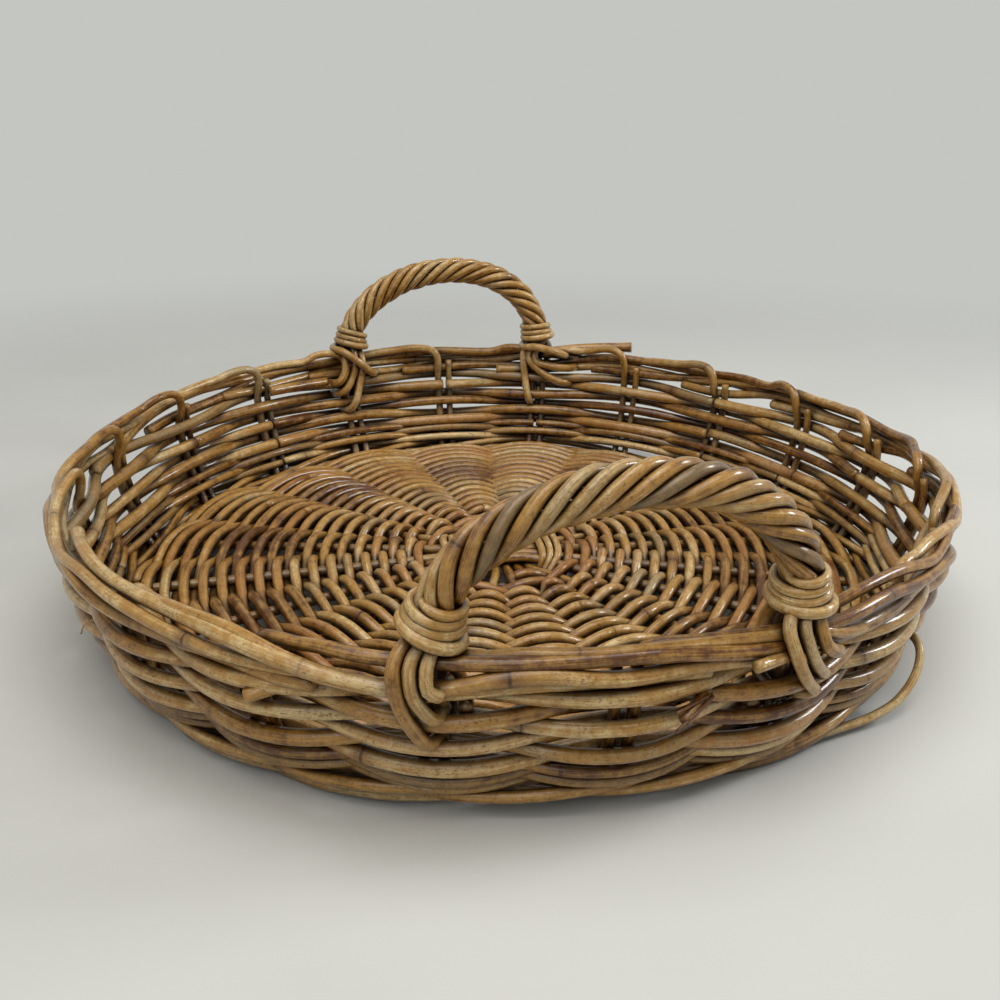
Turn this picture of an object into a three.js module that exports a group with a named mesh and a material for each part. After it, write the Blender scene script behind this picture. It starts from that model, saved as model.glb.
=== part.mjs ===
// Wicker tray basket: a round woven tray with two upright handles of twisted cane.
// Millimetres, +Z up. The origin is on the floor under the middle, and the handles stand on the X axis.
import * as THREE from "three";

// Clearances
const CLEARANCE = 0.3; // left between rods that touch
const ROW_GAP = 0.45; // left between neighbouring rounds of weaving

// Wall and foot
const STAKE_PAIRS = 20; // folded side stakes, one at the tip of each base spoke; a multiple of four
const FOOT_RADIUS = 228; // stake centre line where it turns up out of the base
const RIM_RADIUS = 248; // centre line of the border
const STAKE_DIAMETER = 6;
const STAKE_LEG_SPACING = 8.4; // between the centre lines of the two legs of a folded stake
const STAKE_TUCK = 6; // how far a stake runs in under the wall before its fold
const WEAVER_DIAMETER = 6.6;
const WOVEN_ROWS = 8; // rounds woven in and out above the foot
const CUT_GAP = 2; // between the two cut ends of a round

// Base
const STICK_DIAMETER = 6;
const FAN_RADIUS = 50; // where the sticks have spread to equal angles
const BASE_DOME = 5; // how much higher the middle of the base is than its edge
const BASE_WEAVER_SIZE = 5.1; // side of the square section
const TIE_DIAMETER = 4.4;
const TIE_RADIUS = 22; // from the middle to the straight sides of the tie's first round
const TIE_ROUNDS = 3;

// Border, made of the upper ends of the stakes
const BORDER_RODS = 5; // side by side anywhere on the rim, so an end runs past as many stakes
const BORDER_STEPS = 2; // from one stake to the next

// Handles
const HANDLE_RODS = 6;
const HANDLE_ROD_DIAMETER = 5.8;
const HANDLE_SPAN = 152; // between the centre lines of the two feet
const HANDLE_ARCH_HEIGHT = 57; // from the springing of the arch to the centre line at its top
const HANDLE_LEAN = 7; // degrees that the arch leans out
const HANDLE_TURNS = 3; // whole turns, so that both feet have their rods in the same places
const HANDLE_STEPS = 30;
const LEG_DROP = 26; // how far the rod ends reach below the middle of the border
const LEG_TURN = 35; // degrees above level at which a leg meets the border

// Collars
const COLLAR_ROD_DIAMETER = 5;
const COLLAR_TURNS = 3;
const COLLAR_STEPS = 12; // for one turn

const ROD_SIDES = 5;
const UP = new THREE.Vector3(0, 0, 1);

const CANE = { color: 0xb08d57, roughness: 0.55 };
const BASE_CANE = { color: 0xa87645, roughness: 0.5 };
const PALE_CANE = { color: 0xc2a06a, roughness: 0.5 };
const BROWN_CANE = { color: 0x8f6a3f, roughness: 0.55 };

// Sizes worked out from the driving ones
const stakeRadius = STAKE_DIAMETER / 2;
const weaverRadius = WEAVER_DIAMETER / 2;
const stickRadius = STICK_DIAMETER / 2;
const handleRodRadius = HANDLE_ROD_DIAMETER / 2;
const stakeStep = (2 * Math.PI) / STAKE_PAIRS;
const sticksPerGroup = STAKE_PAIRS / 4; // two groups cross in the middle, and a stick makes two spokes
// A weaver runs straight past both legs of a stake, this far to each side of its middle.
const restAngle = (STAKE_LEG_SPACING / 2 + stakeRadius + weaverRadius) / FOOT_RADIUS;

const rowPitch = Math.max(WEAVER_DIAMETER + ROW_GAP, weaverRadius + stakeRadius + CLEARANCE);
const footHeight = weaverRadius * Math.cos(Math.PI / ROD_SIDES);
const rowHeight = (row) => footHeight + row * rowPitch;
const baseHeight = rowHeight(1);
const topRow = WOVEN_ROWS + 1;
const stakeTop = rowHeight(topRow) + weaverRadius;

const borderHalfStep = Math.PI / (BORDER_RODS * BORDER_STEPS);
const borderLay = (STAKE_DIAMETER + CLEARANCE)
  / (2 * Math.sin(Math.PI / BORDER_RODS) * Math.cos(borderHalfStep));
const borderRadius = borderLay + stakeRadius;
const borderHeight = stakeTop + CLEARANCE + borderRadius;

// The wall leaves the base at a slant and stands upright under the border.
function wallRadius(height) {
  const rest = Math.max(0, (borderHeight - height) / (borderHeight - baseHeight));
  return RIM_RADIUS - (RIM_RADIUS - FOOT_RADIUS) * rest * rest;
}

// How far a weaver's centre line stands in or out from the stakes that it passes.
function weaverOffset(height) {
  const slope = (2 * (RIM_RADIUS - FOOT_RADIUS)) / (borderHeight - baseHeight);
  const leaningStake = stakeRadius * Math.hypot(1, slope);
  const sag = wallRadius(height) * (1 - Math.cos(restAngle));
  return leaningStake + weaverRadius + CLEARANCE + sag;
}

// The inner face of a round of the wall.
function wallFace(row) {
  const height = rowHeight(row);
  return wallRadius(height) - weaverOffset(height) - weaverRadius;
}

const polar = (radius, angle, height) =>
  new THREE.Vector3(radius * Math.cos(angle), radius * Math.sin(angle), height);

// A path through given stations, so that a swept rod has its rings just there.
class StationPath extends THREE.Curve {
  constructor(stations, upright) {
    super();
    this.stations = stations;
    this.upright = upright;
  }

  getPoint(t) {
    const place = t * (this.stations.length - 1);
    const index = Math.min(Math.floor(place), this.stations.length - 2);
    return this.stations[index].clone().lerp(this.stations[index + 1], place - index);
  }

  getUtoTmapping(u) {
    return u;
  }

  // An upright path keeps one flat of the section facing the floor.
  computeFrenetFrames(segments, closed) {
    const frames = super.computeFrenetFrames(segments, closed);
    if (!this.upright) return frames;
    frames.tangents.forEach((tangent, i) => {
      frames.binormals[i].crossVectors(tangent, UP).normalize();
      frames.normals[i].crossVectors(frames.binormals[i], tangent);
    });
    return frames;
  }
}

// A regular section whose corners lie on the rod's circle and whose flat faces down.
function rodSection(radius, sides) {
  const corners = [];
  for (let k = 0; k < sides; k += 1) {
    const angle = Math.PI + ((2 * k + 1) * Math.PI) / sides;
    corners.push(new THREE.Vector2(radius * Math.cos(angle), radius * Math.sin(angle)));
  }
  return new THREE.Shape(corners);
}

function sweep(stations, section, upright) {
  return new THREE.ExtrudeGeometry(section, {
    steps: stations.length - 1,
    bevelEnabled: false,
    extrudePath: new StationPath(stations, upright),
  });
}

// Places given as [out, along, up] at the +X side, turned round the middle of the tray.
function turnedPlaces(places, turn) {
  return places.map((place) => new THREE.Vector3(...place).applyAxisAngle(UP, turn));
}

const basket = new THREE.Group();

function addRod(name, stations, diameter, look, upright = false) {
  const geometry = sweep(stations, rodSection(diameter / 2, ROD_SIDES), upright);
  addPiece(name, geometry, look);
}

function addPiece(name, geometry, look) {
  const material = new THREE.MeshStandardMaterial({ ...look, metalness: 0 });
  const mesh = new THREE.Mesh(geometry, material);
  mesh.name = name;
  basket.add(mesh);
}

const numbered = (name, number) => `${name}_${String(number).padStart(2, "0")}`;

// Base sticks: two groups that cross in the middle and fan out into the spokes.
const stickTip = FOOT_RADIUS - STAKE_TUCK - STAKE_LEG_SPACING / 2 - stakeRadius - CLEARANCE;

function spokeHeight(radius) {
  return baseHeight + (BASE_DOME * (stickTip - radius)) / (stickTip - FAN_RADIUS);
}

const crossHeight = spokeHeight(FAN_RADIUS);

function stickStations(offset, level) {
  const spacing = STICK_DIAMETER + CLEARANCE;
  const straight = (sticksPerGroup / 2) * spacing + CLEARANCE;
  const angle = offset * stakeStep;
  const half = [
    new THREE.Vector3(straight, offset * spacing, crossHeight + (level * spacing) / 2),
    polar(FAN_RADIUS, angle, crossHeight),
    polar(stickTip, angle, baseHeight),
  ];
  const mirrored = half.map((point) => new THREE.Vector3(-point.x, point.y, point.z));
  return [...mirrored.reverse(), ...half];
}

function addBaseSticks() {
  const middle = (sticksPerGroup - 1) / 2;
  for (let k = 0; k < sticksPerGroup; k += 1) {
    const upper = stickStations(k - middle, 1).map((point) => point.applyAxisAngle(UP, Math.PI / 2));
    const lower = stickStations(k - middle, -1);
    addRod(numbered("base_stick_upper", k + 1), upper, STICK_DIAMETER, BASE_CANE);
    addRod(numbered("base_stick_lower", k + 1), lower, STICK_DIAMETER, BASE_CANE);
  }
}

// Where the outermost stick of a group runs, sideways from the group's middle, at a given reach.
function outermostStick(reach) {
  const [inner, outer] = stickStations((sticksPerGroup - 1) / 2, 1).slice(3, 5);
  const part = (reach - inner.x) / (outer.x - inner.x);
  return inner.y + part * (outer.y - inner.y);
}

const tiePitch = TIE_DIAMETER + ROW_GAP;
const tieReach = (quarter) => TIE_RADIUS + (quarter * tiePitch) / 4;
const tieSideRoom = stickRadius + TIE_DIAMETER / 2 + 2 * CLEARANCE;
const tieHalfSide = (reach) => outermostStick(reach) + tieSideRoom;
const tieCorner = (reach) => (reach + tieHalfSide(reach)) / 2;

// The tie winds outward, over the upper group and under the lower one, and dips between the groups.
function addBaseTie() {
  const lift = STICK_DIAMETER + 2 * CLEARANCE + TIE_DIAMETER / 2;
  const last = tieReach(4 * TIE_ROUNDS);
  const stations = [new THREE.Vector3(TIE_RADIUS, CUT_GAP / 2, crossHeight - lift)];
  for (let quarter = 0; quarter < 4 * TIE_ROUNDS; quarter += 1) {
    const height = quarter % 2 === 0 ? -lift : lift;
    const turn = (quarter * Math.PI) / 2;
    const place = (x, y, z) => new THREE.Vector3(x, y, crossHeight + z).applyAxisAngle(UP, turn);
    const [reach, next] = [tieReach(quarter), tieReach(quarter + 1)];
    const corner = tieCorner(next) + CLEARANCE;
    stations.push(place(reach, tieHalfSide(reach), height));
    stations.push(place(corner, corner, 0));
    stations.push(place(tieHalfSide(next), next, -height));
  }
  stations.push(new THREE.Vector3(last, -CUT_GAP / 2, crossHeight - lift));
  addRod("base_tie", stations, TIE_DIAMETER, PALE_CANE);
  const gap = leastGap(stations, TIE_DIAMETER, 8).toFixed(2);
  console.log(`base_tie: least gap between its rounds ${gap} mm`);
}

// Two weavers chase each other outward, one over the spokes that the other runs under.
function addBaseWeavers() {
  const pitch = BASE_WEAVER_SIZE + ROW_GAP;
  const reach = stickRadius + BASE_WEAVER_SIZE / 2 + CLEARANCE;
  const tieEdge = tieCorner(tieReach(4 * TIE_ROUNDS)) * Math.SQRT2 + TIE_DIAMETER / 2 + CLEARANCE;
  const start = Math.max(FAN_RADIUS, tieEdge) + BASE_WEAVER_SIZE;
  const end = Math.min(wallFace(0), wallFace(2)) - CLEARANCE - BASE_WEAVER_SIZE / 2;
  const turns = Math.floor((end - pitch - start) / (2 * pitch));
  const side = BASE_WEAVER_SIZE / 2;
  const square = new THREE.Shape([
    new THREE.Vector2(-side, -side),
    new THREE.Vector2(side, -side),
    new THREE.Vector2(side, side),
    new THREE.Vector2(-side, side),
  ]);
  ["base_weaver_a", "base_weaver_b"].forEach((name, weaver) => {
    const stations = [];
    for (let spoke = 0; spoke <= turns * STAKE_PAIRS; spoke += 1) {
      const rest = (turns * STAKE_PAIRS - spoke) / STAKE_PAIRS;
      const radius = end - (1 - weaver) * pitch - rest * 2 * pitch;
      const slant = reach / (radius * Math.sin(stakeStep / 2));
      const lift = reach / Math.sqrt(1 - slant * slant);
      const over = (spoke + weaver) % 2 === 0 ? 1 : -1;
      stations.push(polar(radius, spoke * stakeStep, spokeHeight(radius) + over * lift));
    }
    addPiece(name, sweep(stations, square, true), weaver ? BASE_CANE : BROWN_CANE);
  });
}

// Border: a stake's end turns over at the rim, and winds from below to the inside, the top and the outside.
function borderPlace(angle) {
  const lay = -Math.PI / 2 - (2 * Math.PI * angle) / (BORDER_RODS * stakeStep);
  const radius = RIM_RADIUS + borderLay * Math.cos(lay);
  return polar(radius, angle, borderHeight + borderLay * Math.sin(lay));
}

// The run of a stake's end along the rim, as far as the stake whose end takes its place.
function borderRun() {
  const steps = BORDER_RODS * BORDER_STEPS;
  const bend = stakeRadius / RIM_RADIUS;
  const room = (STAKE_DIAMETER + CUT_GAP) / RIM_RADIUS;
  const angles = [bend];
  for (let step = 1; step < steps; step += 1) angles.push((step * stakeStep) / BORDER_STEPS);
  angles.push(BORDER_RODS * stakeStep - room);
  return angles.map(borderPlace);
}

// Side stakes: each is one rod folded in half, its fold tucked in at a spoke's tip.
// One leg is cut off under the border, and the end of the other makes its part of the border.
function addStakes() {
  const half = STAKE_LEG_SPACING / 2;
  const foldStart = FOOT_RADIUS - STAKE_TUCK;
  const onWall = (part) => {
    const height = baseHeight + part * (stakeTop - baseHeight);
    return [wallRadius(height), half, height];
  };
  const lower = [
    ...[0.6, 0.28, 0].map(onWall),
    [foldStart, half, baseHeight],
    [foldStart - half * Math.SQRT1_2, half * Math.SQRT1_2, baseHeight],
  ];
  const mirrored = (places) => places.map(([out, along, up]) => [out, -along, up]).reverse();
  const fold = [foldStart - half, 0, baseHeight];
  const legs = [...lower, fold, ...mirrored(lower)];
  const bendStart = [RIM_RADIUS, half, borderHeight - borderLay - stakeRadius];
  const cutTop = mirrored([onWall(1)]);
  for (let k = 0; k < STAKE_PAIRS; k += 1) {
    const turn = k * stakeStep;
    const run = borderRun().map((place) => place.applyAxisAngle(UP, turn + half / RIM_RADIUS));
    const stations = [...run.reverse(), ...turnedPlaces([bendStart, ...legs, ...cutTop], turn)];
    addRod(numbered("side_stake", k + 1), stations, STAKE_DIAMETER, CANE);
  }
}

// One round of weaving, cut where it passes a stake on the inside.
function roundStations(row, sideOfStake, cutStake) {
  const height = rowHeight(row);
  const radiusAt = (stake) => wallRadius(height) + sideOfStake(stake) * weaverOffset(height);
  const cutAngle = CUT_GAP / 2 / wallRadius(height);
  const stations = [];
  for (let k = 0; k <= STAKE_PAIRS; k += 1) {
    const stake = cutStake + k;
    const before = k === 0 ? cutAngle : -restAngle;
    const after = k === STAKE_PAIRS ? -cutAngle : restAngle;
    stations.push(polar(radiusAt(stake), stake * stakeStep + before, height));
    stations.push(polar(radiusAt(stake), stake * stakeStep + after, height));
  }
  return stations;
}

function addWall() {
  const looks = [CANE, BROWN_CANE, PALE_CANE];
  const cutAt = (row) => row * 7; // spreads the cuts, each at a stake that its round passes inside
  const outside = () => 1;
  const weave = (row) => (stake) => ((stake + row) % 2 === 0 ? -1 : 1);
  addRod("foot_row", roundStations(0, weave(0), cutAt(0)), WEAVER_DIAMETER, PALE_CANE, true);
  addRod("foot_wale", roundStations(1, outside, cutAt(1)), WEAVER_DIAMETER, PALE_CANE, true);
  for (let row = 2; row <= topRow; row += 1) {
    const stations = roundStations(row, weave(row), cutAt(row));
    addRod(numbered("wall_row", row - 1), stations, WEAVER_DIAMETER, looks[row % 3], true);
  }
}

// Handles: the arch stands on the rim and leans out, and its feet are turned to face the rim.
const legClear = borderRadius + handleRodRadius + CLEARANCE;
const legReach = legClear / Math.cos(THREE.MathUtils.degToRad(LEG_TURN / 2));
const springing = borderHeight + legReach + handleRodRadius;
const footAngle = Math.asin(HANDLE_SPAN / 2 / RIM_RADIUS);
const lean = THREE.MathUtils.degToRad(HANDLE_LEAN);
const archOut = new THREE.Vector3(Math.cos(lean), 0, -Math.sin(lean));
const archUp = new THREE.Vector3(Math.sin(lean), 0, Math.cos(lean));

class HandleLine extends THREE.Curve {
  getPoint(t) {
    const angle = Math.PI * (1 - t);
    const foot = new THREE.Vector3(RIM_RADIUS * Math.cos(footAngle), 0, springing);
    foot.y = (HANDLE_SPAN / 2) * Math.cos(angle);
    return foot.addScaledVector(archUp, HANDLE_ARCH_HEIGHT * Math.sin(angle));
  }
}

const handleLine = new HandleLine();
const archLength = handleLine.getLength();

// The tightest place of the lay is the inside of the bend above a foot.
function handleLayRadius() {
  const gap = HANDLE_ROD_DIAMETER + ROW_GAP;
  const flat = gap / (2 * Math.sin(Math.PI / HANDLE_RODS));
  const tightBend = (HANDLE_ARCH_HEIGHT * HANDLE_ARCH_HEIGHT) / (HANDLE_SPAN / 2);
  const turnLength = (archLength / HANDLE_TURNS) * (1 - flat / tightBend);
  const slant = Math.atan((2 * Math.PI * flat) / turnLength);
  return flat / Math.cos(slant) / Math.cos((Math.PI * HANDLE_TURNS) / HANDLE_STEPS);
}
const handleLay = handleLayRadius();
const handleRadius = handleLay + handleRodRadius;

// A point beside the centre line: lay is the angle round it, from outward towards its own left.
function besideHandle(along, radius, lay) {
  const left = new THREE.Vector3().crossVectors(handleLine.getTangentAt(along), archOut);
  return handleLine.getPointAt(along)
    .addScaledVector(archOut, radius * Math.cos(lay))
    .addScaledVector(left, -radius * Math.sin(lay));
}

// A rod's end leaves the foot, goes over the border on its side of it and lies against the wall.
function legStations(foot, lay) {
  const side = Math.cos(lay) > 0 ? 1 : -1;
  const spread = Math.round(Math.sin(lay) * 2) / 2;
  const between = HANDLE_ROD_DIAMETER + CLEARANCE;
  const across = Math.sign(spread) * Math.max(handleLay * Math.abs(Math.sin(lay)), between);
  const turn = THREE.MathUtils.degToRad(LEG_TURN);
  const tipHeight = borderHeight - LEG_DROP;
  const wallFace = weaverOffset(tipHeight) + weaverRadius + CLEARANCE + handleRodRadius;
  const borderFace = legClear - side * (wallRadius(tipHeight) - RIM_RADIUS);
  const places = [
    [RIM_RADIUS + side * legReach * Math.cos(turn), across, borderHeight + legReach * Math.sin(turn)],
    [RIM_RADIUS + side * legReach, across, borderHeight],
    [wallRadius(tipHeight) + side * Math.max(wallFace, borderFace), across, tipHeight],
  ];
  return turnedPlaces(places.map(([out, away, up]) => [out, foot * away, up]), foot * footAngle);
}

function addHandle(name, turn) {
  for (let rod = 0; rod < HANDLE_RODS; rod += 1) {
    const start = (2 * Math.PI * rod) / HANDLE_RODS;
    const stations = legStations(-1, start).reverse();
    for (let step = 0; step <= HANDLE_STEPS; step += 1) {
      const along = step / HANDLE_STEPS;
      const lay = start + footAngle + 2 * Math.PI * HANDLE_TURNS * along;
      stations.push(besideHandle(along, handleLay, lay));
    }
    stations.push(...legStations(1, start));
    for (const station of stations) station.applyAxisAngle(UP, turn);
    addRod(`${name}_rod_${rod + 1}`, stations, HANDLE_ROD_DIAMETER, rod === 2 ? BROWN_CANE : PALE_CANE);
  }
}

// Collars: a winding round each foot, just above the border.
function collarStations(foot) {
  const pitch = COLLAR_ROD_DIAMETER + ROW_GAP + CLEARANCE;
  const height = COLLAR_TURNS * pitch + COLLAR_ROD_DIAMETER;
  const end = foot < 0 ? 0 : 1;
  const bottom = handleLine.getPointAt(end);
  const top = handleLine.getPointAt(Math.abs(end - height / archLength));
  const axis = top.clone().sub(bottom).normalize();
  const across = new THREE.Vector3().crossVectors(axis, archOut);
  const bend = (height * height * HANDLE_SPAN) / (16 * HANDLE_ARCH_HEIGHT * HANDLE_ARCH_HEIGHT);
  bottom.addScaledVector(across, (foot * bend) / 2);
  const radius = handleRadius + bend / 2 + CLEARANCE + COLLAR_ROD_DIAMETER / 2;
  const stations = [];
  for (let step = 0; step <= COLLAR_TURNS * COLLAR_STEPS; step += 1) {
    const angle = (2 * Math.PI * step) / COLLAR_STEPS;
    const up = COLLAR_ROD_DIAMETER / 2 + (step / COLLAR_STEPS) * pitch;
    stations.push(bottom.clone()
      .addScaledVector(axis, up)
      .addScaledVector(archOut, radius * Math.cos(angle))
      .addScaledVector(across, radius * Math.sin(angle)));
  }
  return stations;
}

// The least space between one turn of a winding and the next, found on its points.
function leastGap(points, diameter, apart) {
  let least = Infinity;
  for (let i = 0; i < points.length; i += 1) {
    for (let j = i + apart; j < points.length; j += 1) {
      least = Math.min(least, points[i].distanceTo(points[j]) - diameter);
    }
  }
  return least;
}

function addCollars(name, turn) {
  for (const [side, foot] of [["left", -1], ["right", 1]]) {
    const stations = collarStations(foot).map((station) => station.applyAxisAngle(UP, turn));
    addRod(`${name}_collar_${side}`, stations, COLLAR_ROD_DIAMETER, CANE);
    const gap = leastGap(stations, COLLAR_ROD_DIAMETER, Math.round(COLLAR_STEPS * 0.7)).toFixed(2);
    console.log(`${name}_collar_${side}: least gap between its turns ${gap} mm`);
  }
}

addBaseSticks();
addBaseTie();
addBaseWeavers();
addStakes();
addWall();
for (const [name, turn] of [["handle_a", 0], ["handle_b", Math.PI]]) {
  addHandle(name, turn);
  addCollars(name, turn);
}

export default basket;
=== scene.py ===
"""Wicker tray basket: the canes of the tray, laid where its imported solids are, and a pale studio."""
import math
import random

import bmesh
import bpy
import numpy as np
from bpy.props import FloatProperty, FloatVectorProperty, IntProperty, PointerProperty
from bpy.types import Operator, Panel, PropertyGroup
from mathutils import Matrix, Vector, noise


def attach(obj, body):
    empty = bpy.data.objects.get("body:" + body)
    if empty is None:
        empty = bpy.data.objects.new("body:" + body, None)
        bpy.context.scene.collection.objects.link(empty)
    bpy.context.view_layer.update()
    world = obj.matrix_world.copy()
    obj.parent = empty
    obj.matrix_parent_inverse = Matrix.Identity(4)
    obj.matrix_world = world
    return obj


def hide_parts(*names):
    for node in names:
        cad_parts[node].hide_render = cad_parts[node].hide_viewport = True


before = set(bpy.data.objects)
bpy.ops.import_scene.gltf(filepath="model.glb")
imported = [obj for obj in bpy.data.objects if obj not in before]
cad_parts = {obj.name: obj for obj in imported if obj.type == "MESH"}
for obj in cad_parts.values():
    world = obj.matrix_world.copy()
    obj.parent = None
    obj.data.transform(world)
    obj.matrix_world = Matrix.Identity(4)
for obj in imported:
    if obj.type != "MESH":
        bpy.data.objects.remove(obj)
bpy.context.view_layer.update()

bl_info = {
    "name": "Wicker tray basket",
    "version": (1, 0, 0),
    "blender": (4, 5, 0),
    "location": "3D View > Sidebar > Tray",
    "description": "Lays the canes of a round wicker tray and sets up its studio",
    "category": "Add Mesh",
}

UP = Vector((0.0, 0.0, 1.0))
TURN = 2.0 * math.pi
BODY = "root"


def length(name, description, default):
    """A length in metres that the maker can set."""
    return FloatProperty(name=name, description=description, default=default, unit="LENGTH", precision=4)


def tilt(name, description, default):
    """An angle in radians that the maker can set."""
    return FloatProperty(name=name, description=description, default=default, subtype="ANGLE")


def measure(name, description, default):
    """A plain number that the maker can set."""
    return FloatProperty(name=name, description=description, default=default)


def whole(name, description, default):
    """A whole number that the maker can set."""
    return IntProperty(name=name, description=description, default=default)


def colour(name, description, default):
    """A colour that the maker can set, in linear values."""
    return FloatVectorProperty(
        name=name, description=description, default=default, subtype="COLOR", size=3, min=0.0, max=1.0
    )


def srgb(red, green, blue):
    """Linear values of a colour that is written as it shows on a screen, 0 to 255."""
    parts = []
    for part in (red, green, blue):
        value = part / 255.0
        parts.append(value / 12.92 if value <= 0.04045 else ((value + 0.055) / 1.055) ** 2.4)
    return tuple(parts)


class TraySizes(PropertyGroup):
    """Sizes of the tray and its canes."""

    stake_pairs: whole("Stake pairs", "Pairs of stakes round the wall", 20)
    rim_radius: length("Rim radius", "Middle of the border, from the middle of the tray", 0.248)
    foot_radius: length("Foot radius", "Where the stakes turn up out of the base", 0.228)
    foot_height: length("Foot height", "Middle of the lowest round above the floor", 0.0029)
    round_pitch: length("Round pitch", "From one round of the wall to the next", 0.00705)
    border_height: length("Border height", "Middle of the border above the floor", 0.0792)
    border_lay: length("Border lay", "From the middle of the border to the middle of a cane in it", 0.0080)
    stake_cane: length("Stake cane", "Thickness of a stake", 0.0053)
    stake_spacing: length("Stake spacing", "Between the two stakes of a pair", 0.0088)
    wall_cane: length("Wall cane", "Thickness of the canes woven into the wall", 0.0074)
    stick_cane: length("Base stick", "Thickness of the sticks in the base", 0.0060)
    fan_radius: length("Fan radius", "Where the sticks have spread to equal angles", 0.050)
    base_dome: length("Base dome", "Rise of the base from its edge to its middle", 0.005)
    base_cane: length("Base cane", "Thickness of the canes woven into the base", 0.0061)
    base_pitch: length("Base pitch", "From one round of the base to the next", 0.00535)
    handle_cane: length("Handle cane", "Thickness of the rods twisted into a handle", 0.0059)
    handle_lay: length("Handle lay", "From the middle of a handle to the middle of a rod in it", 0.0070)
    handle_span: length("Handle span", "Between the two feet of a handle", 0.152)
    handle_rise: length("Handle rise", "From the springing of the arch to its top", 0.0575)
    springing: length("Springing", "Height above the floor where the arch of a handle begins", 0.0955)
    handle_lean: tilt("Handle lean", "How far a handle leans out", math.radians(7))
    collar_cane: length("Collar cane", "Thickness of the cane wound round a handle's foot", 0.0049)


class TrayColours(PropertyGroup):
    """Colours of the cane and of the studio."""

    pale: colour("Pale cane", "The palest cane", srgb(206, 180, 127))
    golden: colour("Golden cane", "Most of the cane", srgb(165, 123, 58))
    brown: colour("Brown cane", "The darkest cane", srgb(84, 45, 10))
    red: colour("Red cane", "The reddish cane of the base", srgb(146, 84, 34))
    grey: colour("Grey cane", "The grey-green cane", srgb(106, 93, 68))
    # Stain also paints shade: it darkens the deepest nooks between the canes, where little light gets in.
    stain_and_shade: colour("Stain", "Rings and specks on the cane, and its deepest nooks", srgb(42, 19, 3))
    # Grime is partly dirt and partly painted shade, laid in the gaps between the canes.
    grime_and_shade: colour("Grime", "Dirt that has settled between the canes", srgb(72, 49, 22))
    cut: colour("Cut end", "The end of a cut cane", srgb(168, 126, 78))
    floor: colour("Floor", "The pale floor under the tray", srgb(199, 200, 196))
    distance: colour("Distance", "What shows far away, where the floor fades out", srgb(196, 198, 194))


# Laying of canes

NOISE_ROW = 3.71  # from one cane to the next in the noise that canes stray by
NOISE_DEPTH = 0.37  # the layer of that noise
OTHER_ROW = 0.5  # from a cane's first row in it to its second
FEWEST_POINTS = 4  # along a cane
CORNER_CUTS = (0.25, 0.75)  # where rounding cuts a straight piece between two corners
ROUND_SIDES = 10  # of a cane
WELD = 1e-6  # points closer than this are one
CUT_END = 1  # place of a piece's material for cut ends


def wander(place, seed, stray):
    """How far a hand-laid cane strays at a place along it: smooth, and the same on each run.

    stray holds how often it strays, in waves for one unit of place, and how far.
    """
    waves, reach = stray
    return reach * noise.noise(Vector((place * waves, seed * NOISE_ROW, NOISE_DEPTH)))


def flattened(swing, flatness):
    """A swing from -1 to 1 that keeps to its ends for longer."""
    return swing * ((1.0 + flatness) - flatness * swing * swing)


def turned(angle):
    """A turn about the middle of the tray."""
    return Matrix.Rotation(angle, 3, "Z")


def round_place(angle, radius, height):
    """A place round the middle of the tray."""
    return Vector((radius * math.cos(angle), radius * math.sin(angle), height))


def path_lengths(points):
    """The length of a path up to each of its points."""
    steps = [(b - a).length for a, b in zip(points, points[1:])]
    return np.concatenate([[0.0], np.cumsum(steps)])


def even_points(points, spacing):
    """The same path with its points at equal distances."""
    along = path_lengths(points)
    count = max(FEWEST_POINTS, int(round(along[-1] / spacing)) + 1)
    wanted = np.linspace(0.0, along[-1], count)
    columns = [np.interp(wanted, along, [point[axis] for point in points]) for axis in range(3)]
    return [Vector(place) for place in zip(*columns)]


def smooth_points(corners, spacing, rounding):
    """A path that rounds off the corners of a few given places."""
    points = [Vector(corner) for corner in corners]
    for _ in range(rounding):
        softer = [points[0]]
        for a, b in zip(points, points[1:]):
            softer += [a.lerp(b, share) for share in CORNER_CUTS]
        softer.append(points[-1])
        points = softer
    return even_points(points, spacing)


def cane_runs(dice, first, finish, half_runs, extra, shortest):
    """Splits a row of stakes into the runs of single canes; no run at its end is too short."""
    while first < finish:
        last = min(finish, first + 2 * dice.randint(*half_runs) + extra)
        if finish - last < shortest:
            last = finish
        yield first, last
        first = last


class Cane:
    """One length of cane: its path and thickness, and what sets it apart from its neighbours.

    tone runs from dark to pale, and tint from reddish through golden to grey.
    """

    joint_spacing = 0.19
    spacing_shares = (0.75, 1.3)
    joint_width = 0.006
    swelling = 0.07  # at a joint, as a share of the thickness
    bumps = (2.3, 0.05)  # waves from joint to joint, and their share of the thickness
    tone_spread = 0.16
    tint_spread = 0.25
    thickness_spread = 0.05
    most_joints = 40.0  # before the start of the length

    def __init__(self, points, thickness, seed, tone=0.5, tint=0.0, tips=(1.0, 1.0)):
        dice = random.Random(seed)
        self.points = points
        self.tone = tone + dice.uniform(-self.tone_spread, self.tone_spread)
        self.tint = tint + dice.uniform(-self.tint_spread, self.tint_spread)
        self.thickness = thickness * dice.uniform(1.0 - self.thickness_spread, 1.0 + self.thickness_spread)
        self.start = dice.uniform(0.0, self.most_joints)
        span = sum((b - a).length for a, b in zip(points, points[1:]))
        self.joints = span / (self.joint_spacing * dice.uniform(*self.spacing_shares))
        self.tips = tips
        self.seed = seed

    def radius(self, part):
        """Half the thickness at a part of the length: it swells at the joints and thins towards a tip."""
        place = self.start + self.joints * part
        off = abs(place - round(place)) * self.joint_spacing
        swell = self.swelling * math.exp(-((off / self.joint_width) ** 2))
        uneven = 1.0 + swell + wander(place, self.seed, self.bumps)
        taper = self.tips[0] + (self.tips[1] - self.tips[0]) * part
        return 0.5 * self.thickness * uneven * taper


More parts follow.
